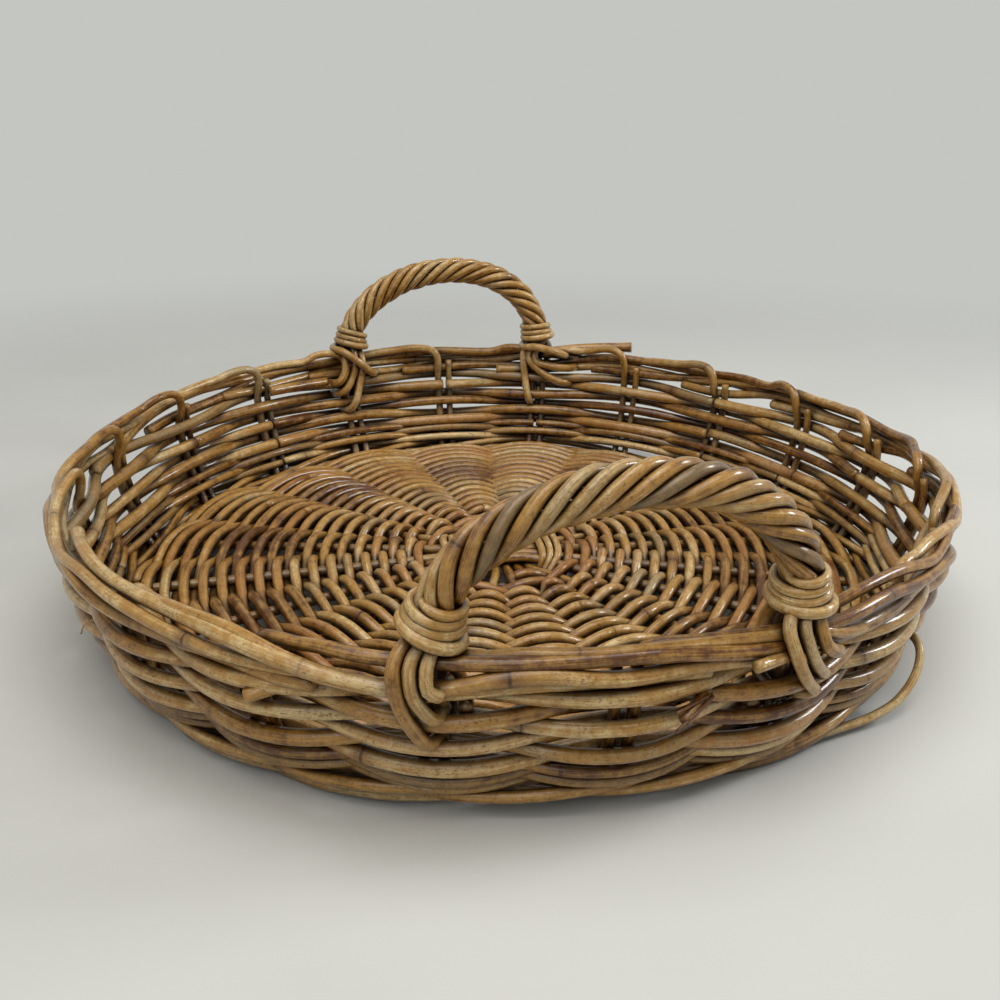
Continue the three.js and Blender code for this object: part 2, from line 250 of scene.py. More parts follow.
def cane_curve(cane, name, sides):
    """The cane as a curve with a round bevel; resolution 0 has four sides, and each step adds two."""
    curve = bpy.data.curves.new(name, "CURVE")
    curve.dimensions = "3D"
    curve.bevel_depth = 1.0
    curve.bevel_resolution = (sides - 4) // 2
    curve.use_fill_caps = True
    spline = curve.splines.new("POLY")
    last = len(cane.points) - 1
    spline.points.add(last)
    for index, point in enumerate(cane.points):
        spline.points[index].co = (*point, 1.0)
        spline.points[index].radius = cane.radius(index / last)
    return bpy.data.objects.new(name, curve)


def mark_cane(mesh, cane, sides):
    """Gives a cane's mesh its joints as the first UV axis, its tone and tint, and its cut ends."""
    layer = mesh.uv_layers.active.data
    places = np.empty(len(mesh.loops) * 2, dtype=np.float32)
    layer.foreach_get("uv", places)
    places[0::2] = places[0::2] * cane.joints + cane.start
    layer.foreach_set("uv", places)
    for name, value in (("tone", cane.tone), ("tint", cane.tint)):
        attribute = mesh.attributes.new(name, "FLOAT", "POINT")
        attribute.data.foreach_set("value", np.full(len(mesh.vertices), value, dtype=np.float32))
    # The corners of the two ends come first in the mesh.
    end_corners = 2 * sides
    for face in mesh.polygons:
        face.use_smooth = True
        if max(face.vertices) < end_corners:
            face.material_index = CUT_END


def close_piece(mesh):
    """Welds the cut ends to their canes and turns all faces outward."""
    work = bmesh.new()
    work.from_mesh(mesh)
    bmesh.ops.remove_doubles(work, verts=work.verts, dist=WELD)
    bmesh.ops.recalc_face_normals(work, faces=work.faces)
    for edge in work.edges:
        kinds = {face.material_index for face in edge.link_faces}
        edge.smooth = len(kinds) < 2
    work.to_mesh(mesh)
    work.free()


def lay_piece(context, node, canes, look, sides=ROUND_SIDES):
    """Makes one piece of the tray out of its canes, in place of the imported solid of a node."""
    name = f"{node}_cane"
    collection = context.scene.collection
    curves = [cane_curve(cane, f"{name}_{index}", sides) for index, cane in enumerate(canes)]
    for curve in curves:
        collection.objects.link(curve)
    graph = context.evaluated_depsgraph_get()
    lengths = []
    for curve, cane in zip(curves, canes):
        mesh = bpy.data.meshes.new_from_object(curve.evaluated_get(graph), depsgraph=graph)
        mark_cane(mesh, cane, sides)
        lengths.append(bpy.data.objects.new(curve.name, mesh))
    for curve in curves:
        bpy.data.curves.remove(curve.data)
    for piece in lengths:
        piece.data.materials.clear()
        piece.data.materials.append(look)
        piece.data.materials.append(cut_material(context))
        collection.objects.link(piece)
    piece = lengths[0]
    if len(lengths) > 1:
        with context.temp_override(active_object=piece, selected_editable_objects=lengths):
            bpy.ops.object.join()
    close_piece(piece.data)
    piece.name = name
    piece.data.name = name
    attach(piece, BODY)
    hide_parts(node)


# Cane as a material


class Nodes:
    """Short calls for building the nodes of a material or a world."""

    def __init__(self, owner):
        self.tree = owner.node_tree
        self.links = self.tree.links

    def add(self, kind, **settings):
        node = self.tree.nodes.new(kind)
        for name, value in settings.items():
            setattr(node, name, value)
        return node

    def find(self, kind):
        return next(node for node in self.tree.nodes if node.type == kind)

    def put(self, socket, value):
        """Sets a socket, or links it to another."""
        if isinstance(value, bpy.types.NodeSocket):
            self.links.new(value, socket)
        else:
            socket.default_value = value

    def fill(self, sockets, values):
        for socket, value in zip(sockets, values):
            self.put(socket, value)

    def math(self, operation, *values):
        node = self.add("ShaderNodeMath", operation=operation)
        self.fill(node.inputs, values)
        return node.outputs[0]

    def between(self, value, low, high, to_low=0.0, to_high=1.0):
        """Maps a value smoothly from one range to another."""
        node = self.add("ShaderNodeMapRange", interpolation_type="SMOOTHSTEP")
        self.fill(node.inputs[:5], (value, low, high, to_low, to_high))
        return node.outputs[0]

    def noise(self, vector, scale, detail, roughness):
        node = self.add("ShaderNodeTexNoise")
        self.put(node.inputs["Vector"], vector)
        self.put(node.inputs["Scale"], scale)
        self.put(node.inputs["Detail"], detail)
        self.put(node.inputs["Roughness"], roughness)
        return node.outputs[0]

    def mix(self, factor, first, second):
        """Mixes two colours. A mix node's colours are its seventh and eighth inputs."""
        node = self.add("ShaderNodeMix", data_type="RGBA")
        self.put(node.inputs[0], factor)
        self.fill(node.inputs[6:8], (first, second))
        return node.outputs[2]

    def combine(self, x, y, z):
        node = self.add("ShaderNodeCombineXYZ")
        self.fill(node.inputs, (x, y, z))
        return node.outputs[0]

    def attribute(self, name):
        node = self.add("ShaderNodeAttribute", attribute_name=name)
        return node.outputs["Fac"]

    def relief(self, shader, height, strength, depth):
        """Raises and sinks a surface by a pattern."""
        bump = self.add("ShaderNodeBump")
        self.put(bump.inputs["Strength"], strength)
        self.put(bump.inputs["Distance"], depth)
        self.put(bump.inputs["Height"], height)
        self.put(shader.inputs["Normal"], bump.outputs[0])

    def show_both(self, share, first, second, output):
        """Mixes two shaders and shows the result."""
        both = self.add("ShaderNodeMixShader")
        self.fill(both.inputs, (share, first.outputs[0], second.outputs[0]))
        self.put(self.find(output).inputs["Surface"], both.outputs[0])


def fresh_material(name):
    """A new material with only its surface shader and output."""
    material = bpy.data.materials.new(name)
    material.use_nodes = True
    nodes = Nodes(material)
    return material, nodes, nodes.find("BSDF_PRINCIPLED")


def four(colour_value):
    return (*colour_value, 1.0)


# Patterns of the cane, as the scale, detail and roughness of a noise. The first three follow each cane, and
# their runs say how often they change from one joint to the next. The others lie over the whole tray.
STREAKS = (2.1, 3.0, 0.55)
FIBRES = (13.0, 3.0, 0.6)
SPECKS = (8.0, 2.0, 0.6)
STREAK_RUN = 2.2
FIBRE_RUN = 0.8
SPECK_RUN = 12.0
BLOTCHES = (46.0, 4.0, 0.6)
PATCHES = (11.0, 2.0, 0.5)
MOTTLES = (190.0, 3.0, 0.65)
FLECKS = (560.0, 3.0, 0.7)
CUT_PORES = (1500.0, 2.0, 0.7)

# Where each part of the look comes in: the values at which it begins and ends, and its strength at each,
# which is 0 and 1 where it isn't given.
GOLDEN_COMES = (0.0, 0.5)
PALE_COMES = (0.5, 1.0)
RED_COMES = (0.3, 1.1, 0.0, 0.7)
GREY_COMES = (0.2, 0.85, 0.0, 0.65)
JOINT_STRENGTH = (0.1, 0.9, 0.1, 1.0)
RING_EDGE = (0.0008, 0.0060, 1.0, 0.0)
SHADE_EDGE = (0.0, 0.055, 0.9, 0.0)
SHADED_JOINTS = (0.25, 0.7)
SHADE_MOTTLED = (0.35, 0.6, 0.3, 1.0)
SPECKS_COME = (0.58, 0.68)
SPECKS_GATHER = (0.40, 0.62, 0.15, 1.0)
FLECKS_COME = (0.53, 0.70, 0.0, 0.6)
FLECKS_GATHER = (0.35, 0.6, 0.25, 1.0)
# Grime and stain below darken the canes where ambient occlusion finds them hidden by others: partly dirt,
# partly painted shade.
GRIME_AND_SHADE_COMES = (0.45, 0.92, 0.65, 0.0)
GRIME_AND_SHADE_GATHERS = (0.36, 0.60)
# Painted shade: stain in the deepest nooks between the canes.
NOOK_SHADE_COMES = (0.12, 0.80, 0.96, 0.0)
PORES_COME = (0.48, 0.62)
PORES_ROUGH = (0.3, 0.7, 0.6, 0.85)

RED_PATCHES = 0.5  # how much the patches bring out the red
GREY_BLOTCHES = 1.1  # how much the blotches bring out the grey
GREY_START = 0.5  # tint from which cane greys
RAGGED_RING = 0.014  # how far a ring strays, as a part of the way to the next joint
RING_DARK = 0.85
SPECK_DARK = 0.75
# Reach and samples of the ambient occlusion that lays the painted shade and grime in the nooks.
NOOK_REACH = 0.014
NOOK_SAMPLES = 6

ROUGHNESS = 0.16
BLOTCH_ROUGH = 0.34
SPECK_ROUGH = 0.15
SHINE = 0.22
COAT = 0.55
COAT_ROUGHNESS = 0.08

FIBRE_RELIEF = 0.55
MOTTLE_RELIEF = 0.5
RING_RELIEF = 0.8
SPECK_RELIEF = 0.25
RELIEF_STRENGTH = 0.35
RELIEF_DEPTH = 0.0008
CUT_STRENGTH = 0.4
CUT_DEPTH = 0.0004


class CaneLook:
    """The patterns of varnished cane, and what is made out of them."""

    def __init__(self, nodes, colours):
        self.nodes = nodes
        self.colours = colours
        coordinates = nodes.add("ShaderNodeTexCoord")
        split = nodes.add("ShaderNodeSeparateXYZ")
        nodes.put(split.inputs[0], coordinates.outputs["UV"])
        self.along = split.outputs[0]
        angle = nodes.math("MULTIPLY", split.outputs[1], TURN)
        self.across = nodes.math("COSINE", angle)
        self.upward = nodes.math("SINE", angle)
        self.streaks = self.drawn_out(STREAK_RUN, STREAKS)
        self.fibres = self.drawn_out(FIBRE_RUN, FIBRES)
        self.specks = self.drawn_out(SPECK_RUN, SPECKS)
        here = coordinates.outputs["Object"]
        self.blotches = nodes.noise(here, *BLOTCHES)
        self.patches = nodes.noise(here, *PATCHES)
        self.mottles = nodes.noise(here, *MOTTLES)
        self.flecks = nodes.noise(here, *FLECKS)
        self.tone = nodes.attribute("tone")
        self.tint = nodes.attribute("tint")

    def drawn_out(self, run, pattern):
        """A pattern that follows the cane."""
        place = self.nodes.math("MULTIPLY", self.along, run)
        return self.nodes.noise(self.nodes.combine(self.across, self.upward, place), *pattern)

    def plain_cane(self, pale_shift, red_share):
        """Brown, golden and pale cane, with reddish patches and grey blotches."""
        nodes, colours = self.nodes, self.colours
        level = nodes.math("ADD", self.tone, pale_shift)
        for pattern, share in (
            (self.streaks, 1.0),
            (self.fibres, 0.7),
            (self.mottles, 0.9),
            (self.blotches, 0.8),
            (self.patches, 0.6),
        ):
            level = nodes.math("ADD", level, nodes.math("MULTIPLY_ADD", pattern, share, -0.5 * share))
        body = nodes.mix(nodes.between(level, *GOLDEN_COMES), four(colours.brown), four(colours.golden))
        body = nodes.mix(nodes.between(level, *PALE_COMES), body, four(colours.pale))
        reddish = nodes.math("MULTIPLY_ADD", self.patches, RED_PATCHES, red_share)
        reddish = nodes.math("SUBTRACT", reddish, self.tint)
        body = nodes.mix(nodes.between(reddish, *RED_COMES), body, four(colours.red))
        grey_tint = nodes.math("SUBTRACT", self.tint, GREY_START)
        weathered = nodes.math("MULTIPLY_ADD", self.blotches, GREY_BLOTCHES, grey_tint)
        return nodes.mix(nodes.between(weathered, *GREY_COMES), body, four(colours.grey))

    def joints(self):
        """The dark ring at each joint, and the shade to both sides of some of them."""
        nodes = self.nodes
        place = nodes.math("FRACT", nodes.math("ADD", self.along, 0.5))
        off_joint = nodes.math("ABSOLUTE", nodes.math("SUBTRACT", place, 0.5))
        ragged = nodes.math("MULTIPLY_ADD", self.mottles, RAGGED_RING, -0.5 * RAGGED_RING)
        ring_place = nodes.math("ADD", off_joint, ragged)
        each = nodes.add("ShaderNodeTexWhiteNoise", noise_dimensions="2D")
        nodes.put(each.inputs["Vector"], nodes.combine(nodes.math("ROUND", self.along), self.tone, 0.0))
        strong = nodes.between(each.outputs["Value"], *JOINT_STRENGTH)
        ring = nodes.math("MULTIPLY", nodes.between(ring_place, *RING_EDGE), strong)
        shade = nodes.between(ring_place, *SHADE_EDGE)
        shade = nodes.math("MULTIPLY", shade, nodes.between(each.outputs["Value"], *SHADED_JOINTS))
        shade = nodes.math("MULTIPLY", shade, nodes.between(self.mottles, *SHADE_MOTTLED))
        return ring, shade

    def gathered(self, pattern, comes, places, gathers):
        """A pattern that shows mostly where another one is strong."""
        shown = self.nodes.between(pattern, *comes)
        return self.nodes.math("MULTIPLY", shown, self.nodes.between(places, *gathers))

    def worn_and_shaded_cane(self, body, ring, shade, specks):
        """The cane with its marks, dirt between the canes, and painted shade in the nooks where the canes
        hide each other.
        """
        nodes, colours = self.nodes, self.colours
        nook = nodes.add("ShaderNodeAmbientOcclusion", samples=NOOK_SAMPLES)
        nodes.put(nook.inputs["Distance"], NOOK_REACH)
        open_share = nook.outputs["AO"]
        # Ambient occlusion darkens the nooks: grime there is partly dirt and partly painted shade, and
        # stain in the deepest nooks is painted shade.
        for share, tone in (
            (shade, colours.brown),
            (nodes.math("MULTIPLY", specks, SPECK_DARK), colours.stain_and_shade),
            (self.gathered(self.flecks, FLECKS_COME, self.patches, FLECKS_GATHER), colours.brown),
            (self.gathered(open_share, GRIME_AND_SHADE_COMES, self.blotches, GRIME_AND_SHADE_GATHERS), colours.grime_and_shade),
            (nodes.between(open_share, *NOOK_SHADE_COMES), colours.stain_and_shade),
            (nodes.math("MULTIPLY", ring, RING_DARK), colours.stain_and_shade),
        ):
            body = nodes.mix(share, body, four(tone))
        return body


def cane_material(context, name, pale_shift, red_share):
    """Varnished cane: streaks along it, dark rings at its joints, stains, specks, painted shade in the
    nooks between canes and a satin coat.

    pale_shift makes all canes of the piece paler or darker, and red_share makes them redder.
    """
    if name in bpy.data.materials:
        return bpy.data.materials[name]
    material, nodes, shader = fresh_material(name)
    cane = CaneLook(nodes, context.scene.tray_colours)
    ring, shade = cane.joints()
    specks = cane.gathered(cane.specks, SPECKS_COME, cane.blotches, SPECKS_GATHER)
    body = cane.worn_and_shaded_cane(cane.plain_cane(pale_shift, red_share), ring, shade, specks)
    nodes.put(shader.inputs["Base Color"], body)
    rough = nodes.math("MULTIPLY_ADD", cane.blotches, BLOTCH_ROUGH, ROUGHNESS)
    nodes.put(shader.inputs["Roughness"], nodes.math("MULTIPLY_ADD", specks, SPECK_ROUGH, rough))
    nodes.put(shader.inputs["Specular IOR Level"], SHINE)
    nodes.put(shader.inputs["Coat Weight"], COAT)
    nodes.put(shader.inputs["Coat Roughness"], COAT_ROUGHNESS)
    relief = nodes.math("MULTIPLY", cane.fibres, FIBRE_RELIEF)
    relief = nodes.math("MULTIPLY_ADD", cane.mottles, MOTTLE_RELIEF, relief)
    relief = nodes.math("SUBTRACT", relief, nodes.math("MULTIPLY", ring, RING_RELIEF))
    relief = nodes.math("SUBTRACT", relief, nodes.math("MULTIPLY", specks, SPECK_RELIEF))
    nodes.relief(shader, relief, RELIEF_STRENGTH, RELIEF_DEPTH)
    return material


def cut_material(context):
    """The fibrous end of a cut cane."""
    name = "cut_cane"
    if name in bpy.data.materials:
        return bpy.data.materials[name]
    colours = context.scene.tray_colours
    material, nodes, shader = fresh_material(name)
    coordinates = nodes.add("ShaderNodeTexCoord")
    pores = nodes.noise(coordinates.outputs["Object"], *CUT_PORES)
    body = nodes.mix(nodes.between(pores, *PORES_COME), four(colours.cut), four(colours.brown))
    nodes.put(shader.inputs["Base Color"], body)
    nodes.put(shader.inputs["Roughness"], nodes.between(pores, *PORES_ROUGH))
    nodes.relief(shader, pores, CUT_STRENGTH, CUT_DEPTH)
    return material


# Shape of the tray

# The rim isn't quite true: waves of its radius and of its height, as reach, waves in a round and shift.
RIM_SWAY = ((0.0016, 2.0, 0.6), (0.0010, 3.0, 2.0))
RIM_LIFT = ((0.0012, 2.0, -1.0), (0.0008, 5.0, 0.0))

STICKS = 5  # in each of the two groups that cross
STICK_GAP = 0.0003  # between two sticks of a group
STICK_STRAIGHT = 2.6  # how far a group runs straight from the middle, in sticks
STICK_INSET = 0.0135  # from the foot to a stick's end
STICK_STEP = 0.004  # from point to point along a stick
WALL_REACH = 0.0063  # how far a cane of the wall swings in and out from the stakes


def ripple(waves, angle):
    return sum(reach * math.cos(times * angle + shift) for reach, times, shift in waves)


def stake_angle(sizes, stake):
    return TURN * stake / sizes.stake_pairs


def round_height(sizes, row):
    return sizes.foot_height + row * sizes.round_pitch


def base_height(sizes):
    return round_height(sizes, 1)


def wall_radius(sizes, height):
    """The wall leaves the base at a slant and stands upright under the border."""
    rest = max(0.0, (sizes.border_height - height) / (sizes.border_height - base_height(sizes)))
    return sizes.rim_radius - (sizes.rim_radius - sizes.foot_radius) * rest * rest


def on_wall(sizes, angle, height, out=0.0):
    """A place at the wall; out is measured from the middle of the stakes."""
    share = height / sizes.border_height
    radius = wall_radius(sizes, height) + out + share * ripple(RIM_SWAY, angle)
    return round_place(angle, radius, height + share * ripple(RIM_LIFT, angle))


def off_wall(sizes, angle, height, out):
    """A place beside the wall, square to its lean; out is measured from the middle of the stakes."""
    span = sizes.border_height - base_height(sizes)
    rest = max(0.0, (sizes.border_height - height) / span)
    lean = math.atan(2.0 * (sizes.rim_radius - sizes.foot_radius) * rest / span)
    lower = height - out * math.sin(lean)
    slip = wall_radius(sizes, height) - wall_radius(sizes, lower)
    return on_wall(sizes, angle, lower, out * math.cos(lean) + slip)


def stick_tip(sizes):
    return sizes.foot_radius - STICK_INSET


def spoke_height(sizes, radius):
    """The base is a low dome."""
    tip = stick_tip(sizes)
    return base_height(sizes) + sizes.base_dome * (tip - radius) / (tip - sizes.fan_radius)


def stick_points(sizes, offset, level):
    """A base stick that runs along X: close to its neighbours in the middle, then fanned out."""
    spacing = sizes.stick_cane + STICK_GAP
    angle = offset * stake_angle(sizes, 1)
    height = spoke_height(sizes, sizes.fan_radius) + level * spacing / 2
    half = [Vector((along, offset * spacing, height)) for along in (0.0, STICK_STRAIGHT * spacing)]
    for radius in (sizes.fan_radius, 0.5 * stick_tip(sizes), stick_tip(sizes)):
        half.append(round_place(angle, radius, spoke_height(sizes, radius)))
    mirrored = [Vector((-point.x, point.y, point.z)) for point in reversed(half[1:])]
    return smooth_points(mirrored + half, STICK_STEP, rounding=3)


class TRAY_OT_base_sticks(Operator):
    """Lay the ten sticks that cross in the middle of the base and fan out into its spokes"""

    bl_idname = "tray.base_sticks"
    bl_label = "Base sticks"

    first_seeds = {"lower": 0, "upper": 20}

    def execute(self, context):
        sizes = context.scene.tray_sizes
        look = cane_material(context, "cane_of_base_sticks", pale_shift=-0.08, red_share=0.12)
        quarter = turned(math.pi / 2)
        for number in range(1, STICKS + 1):
            offset = number - (STICKS + 1) // 2
            lower = stick_points(sizes, offset, -1)
            upper = [quarter @ point for point in stick_points(sizes, offset, 1)]
            for level, points in (("lower", lower), ("upper", upper)):
                node = f"base_stick_{level}_{number:02d}"
                cane = Cane(points, sizes.stick_cane, number + self.first_seeds[level], tint=-0.1)
                lay_piece(context, node, [cane], look)
        return {"FINISHED"}


class TRAY_OT_base_tie(Operator):
    """Bind the cross of base sticks with a tie over the upper sticks and under the lower ones"""

    bl_idname = "tray.base_tie"
    bl_label = "Base tie"

    reach: length("Reach", "From the middle to the straight sides of the first round", 0.0215)
    pitch: length("Pitch", "From one round of the tie to the next", 0.0052)
    rounds: whole("Rounds", "Rounds of the tie", 3)
    half_side: length("Half side", "Half the length of a straight side", 0.0175)
    cane: length("Cane", "Thickness of the tie", 0.0050)

    end_gap = 0.001  # from the middle of a side to an end of the tie
    corner_bulge = 0.001
    step = 0.0025
    sides = 8
    seed = 41

    def execute(self, context):
        sizes = context.scene.tray_sizes
        middle = spoke_height(sizes, sizes.fan_radius)
        lift = sizes.stick_cane + 0.5 * self.cane
        places = [Vector((self.reach, self.end_gap, middle - lift))]
        for side in range(4 * self.rounds):
            height = lift if side % 2 else -lift
            turn = turned(side * math.pi / 2)
            before = self.reach + self.pitch * side / 4
            after = before + self.pitch / 4
            corner = 0.5 * (before + self.half_side) + self.corner_bulge
            for x, y, z in (
                (before, self.half_side, height),
                (corner, corner, 0.0),
                (self.half_side, after, -height),
            ):
                places.append(turn @ Vector((x, y, middle + z)))
        places.append(Vector((self.reach + self.pitch * self.rounds, -self.end_gap, middle - lift)))
        look = cane_material(context, "cane_of_base_tie", pale_shift=0.05, red_share=0.0)
        cane = Cane(smooth_points(places, self.step, rounding=2), self.cane, self.seed, tone=0.6)
        lay_piece(context, "base_tie", [cane], look, self.sides)
        return {"FINISHED"}


class TRAY_OT_base_weavers(Operator):
    """Weave the two canes of the base, which chase each other outward over and under the spokes"""

    bl_idname = "tray.base_weavers"
    bl_label = "Base weavers"

    start_radius: length("Start", "Radius where the weaving begins", 0.0395)
    single_radius: length("Singles", "Radius from which single spokes are woven, not pairs", 0.056)
    end_radius: length("End", "Radius of the last round", 0.2195)
    rise: length("Rise", "How far a cane rises over a spoke", 0.0052)
    closing: whole("Closing", "Spokes that the last round runs on along the foot", 9)

    steps = 8  # from one spoke to the next
    pair_rise = 0.8  # over a pair of spokes, as a share of the rise over one
    flatness = 0.12
    stray = (0.4, 0.0008)  # sideways: waves for each spoke, and reach
    stray_seed = 3
    lift = (0.3, 0.0004)  # up and down
    half_runs = (9, 19)  # half the spokes that one cane passes
    shortest = 10  # spokes that a last cane passes, at least
    tones = (0.28, 0.68)
    tints = (-0.35, 0.35)
    dice_seed = 60
    first_seed = 100
    seed_step = 40

    def weaver_points(self, sizes, weaver, first, last):
        """The path of one weaver from one spoke to another, counted outward from the start."""
        points = []
        for step in range(first * self.steps, last * self.steps + 1):
            spoke = step / self.steps
            radius = self.start_radius + (2.0 * spoke / sizes.stake_pairs + weaver) * sizes.base_pitch
            radius = min(radius, self.end_radius + (weaver - 1) * sizes.base_pitch)
            over = math.cos(math.pi * (spoke + weaver))
            if radius < self.single_radius:
                over = self.pair_rise * math.cos(0.5 * math.pi * (spoke - 0.5) + math.pi * weaver)
            over = flattened(over, self.flatness)
            radius += wander(spoke, weaver + self.stray_seed, self.stray)
            height = spoke_height(sizes, radius) + self.rise * over + wander(spoke, weaver, self.lift)
            points.append(round_place(stake_angle(sizes, spoke), radius, height))
        return points

    def execute(self, context):
        sizes = context.scene.tray_sizes
        look = cane_material(context, "cane_of_base_weave", pale_shift=0.0, red_share=0.13)
        reach = self.end_radius - self.start_radius
        spokes = int(sizes.stake_pairs * (reach / sizes.base_pitch - 1.0) / 2.0) + self.closing
        for weaver, letter in enumerate("ab"):
            dice = random.Random(self.dice_seed + weaver)
            canes = []
            for first, last in cane_runs(dice, 0, spokes, self.half_runs, weaver, self.shortest):
                points = self.weaver_points(sizes, weaver, first, last)
                tone = dice.uniform(*self.tones)
                tint = dice.uniform(*self.tints)
                seed = self.first_seed + self.seed_step * weaver + len(canes)
                canes.append(Cane(points, sizes.base_cane, seed, tone, tint))
            lay_piece(context, f"base_weaver_{letter}", canes, look)
        return {"FINISHED"}


# Where a stake turns over the border: how far along the rim, how far out as a share of the border's lay,
# and how high as a share of the crown.
CROWN = ((0.0004, -0.66, 0.40), (0.0034, -0.64, 0.90), (0.0100, -0.48, 1.10), (0.0190, -0.18, 1.04))


class TRAY_OT_side_stakes(Operator):
    """Stand the folded stakes round the base and turn their long ends down into the border"""

    bl_idname = "tray.side_stakes"
    bl_label = "Side stakes and border"

    tuck: length("Tuck", "How far a stake runs in under the wall before its fold", 0.006)
    border_canes: measure("Stakes passed", "Stakes that an end runs past", 4.3)
    lay_start: tilt("Lay start", "Where an end joins the border, from outside", math.radians(112))
    lay_end: tilt("Lay end", "Where an end is tucked away, from outside", math.radians(-72))

    lay_ease = 0.66  # below 1, so an end crosses the top early
    lay_stray = (5.0, 1.25)  # round the border: waves along an end, and reach in radians
    settled = 4.0  # parts of an end's run, after the first of which it strays freely
    ring_stray = (6.0, 0.0038)  # to and from the middle of the border
    below_border = 0.003  # from the border to the end of a straight leg
    leg_parts = (0.12, 0.3, 0.5, 0.7, 0.85, 1.0)
    leg_stray = (2.0, 0.0012)
    leg_shift = 2.5  # of each leg, one way or the other, in the noise that it strays by
    short_end = -0.002  # how far out the short leg ends in the border
    tight_turn = 0.1  # radians from the near handle back to where the border is pulled tight
    tight_reach = 0.4  # cosine of the turn from there at which it begins to loosen
    tight_crown = 0.40  # how much lower and narrower it is there
    tight_inward = 0.45
    crown_heights = (0.0016, 0.0052)
    most_slant = 0.35
    bend_out = -0.50  # as a share of the border's lay
    bend_up = -0.0040
    run_start = 0.025  # radians from the bend to the start of an end's run in the border
    run_steps = 26
    first_step = 2
    step = 0.0032
    first_seed = 200
    crown_seed = 50
    thicknesses = (0.98, 1.10)
    tones = (0.28, 0.82)
    tints = (-0.15, 0.3)
    tips = (0.92, 1.30)

    def border_place(self, sizes, angle, part, seed):
        """A place in the border: an end crosses the top soon after its bend and then sinks down outside."""
        lay = self.lay_start + (self.lay_end - self.lay_start) * part ** self.lay_ease
        lay += wander(part, seed, self.lay_stray) * min(1.0, self.settled * part)
        ring = sizes.border_lay + wander(part, seed + OTHER_ROW, self.ring_stray)
        return on_wall(sizes, angle, sizes.border_height + ring * math.sin(lay), ring * math.cos(lay))

    def leg_places(self, sizes, turn, side, seed):
        """One leg of a stake, from its fold to below the border."""
        half = 0.5 * sizes.stake_spacing
        low = base_height(sizes)
        top = sizes.border_height - sizes.border_lay - self.below_border
        places = [
            turned(turn) @ Vector((out, side * half, low))
            for out in (sizes.foot_radius - self.tuck, sizes.foot_radius)
        ]
        for part in self.leg_parts:
            lean = wander(part + self.leg_shift * side, seed, self.leg_stray)
            angle = turn + (side * half + lean) / sizes.rim_radius
            places.append(on_wall(sizes, angle, low + part * (top - low)))
        return places

    def stake_points(self, sizes, stake, seed):
        """One folded stake: up to its cut end, and up and over into the border."""
        turn = stake_angle(sizes, stake)
        half = 0.5 * sizes.stake_spacing
        short = self.leg_places(sizes, turn, -1, seed)
        short.append(on_wall(sizes, turn - half / sizes.rim_radius, sizes.border_height, self.short_end))
        fold = turned(turn) @ Vector((sizes.foot_radius - self.tuck - half, 0.0, base_height(sizes)))
        places = list(reversed(short)) + [fold] + self.leg_places(sizes, turn, 1, seed)

        dice = random.Random(seed + self.crown_seed)
        tight = min(1.0, max(0.0, math.cos(turn + self.tight_turn) / self.tight_reach))
        crown = sizes.border_lay * (1.0 - self.tight_crown * tight)
        crown += dice.uniform(*self.crown_heights) * (1.0 - tight)
        inward = sizes.border_lay * (1.0 - self.tight_inward * tight)
        slant = 1.0 + dice.uniform(0.0, self.most_slant) * (1.0 - tight)
        bend_angle = turn + half / sizes.rim_radius
        bend = on_wall(sizes, bend_angle, sizes.border_height + self.bend_up, self.bend_out * inward)
        places.append(bend)
        for along, out, up in CROWN:
            angle = bend_angle + slant * along / sizes.rim_radius
            places.append(on_wall(sizes, angle, sizes.border_height + up * crown, out * inward))
        run = self.border_canes * stake_angle(sizes, 1)
        for step in range(self.first_step, self.run_steps + 1):
            part = step / self.run_steps
            angle = bend_angle + self.run_start + run * part
            places.append(self.border_place(sizes, angle, part, seed))
        return smooth_points(places, self.step, rounding=3)

    def execute(self, context):
        sizes = context.scene.tray_sizes
        look = cane_material(context, "cane_of_stakes", pale_shift=-0.03, red_share=-0.1)
        for stake in range(sizes.stake_pairs):
            node = f"side_stake_{stake + 1:02d}"
            seed = self.first_seed + stake
            dice = random.Random(seed)
            points = self.stake_points(sizes, stake, seed)
            thickness = sizes.stake_cane * dice.uniform(*self.thicknesses)
            tone = dice.uniform(*self.tones)
            cane = Cane(points, thickness, seed, tone, dice.uniform(*self.tints), self.tips)
            lay_piece(context, node, [cane], look)
        return {"FINISHED"}


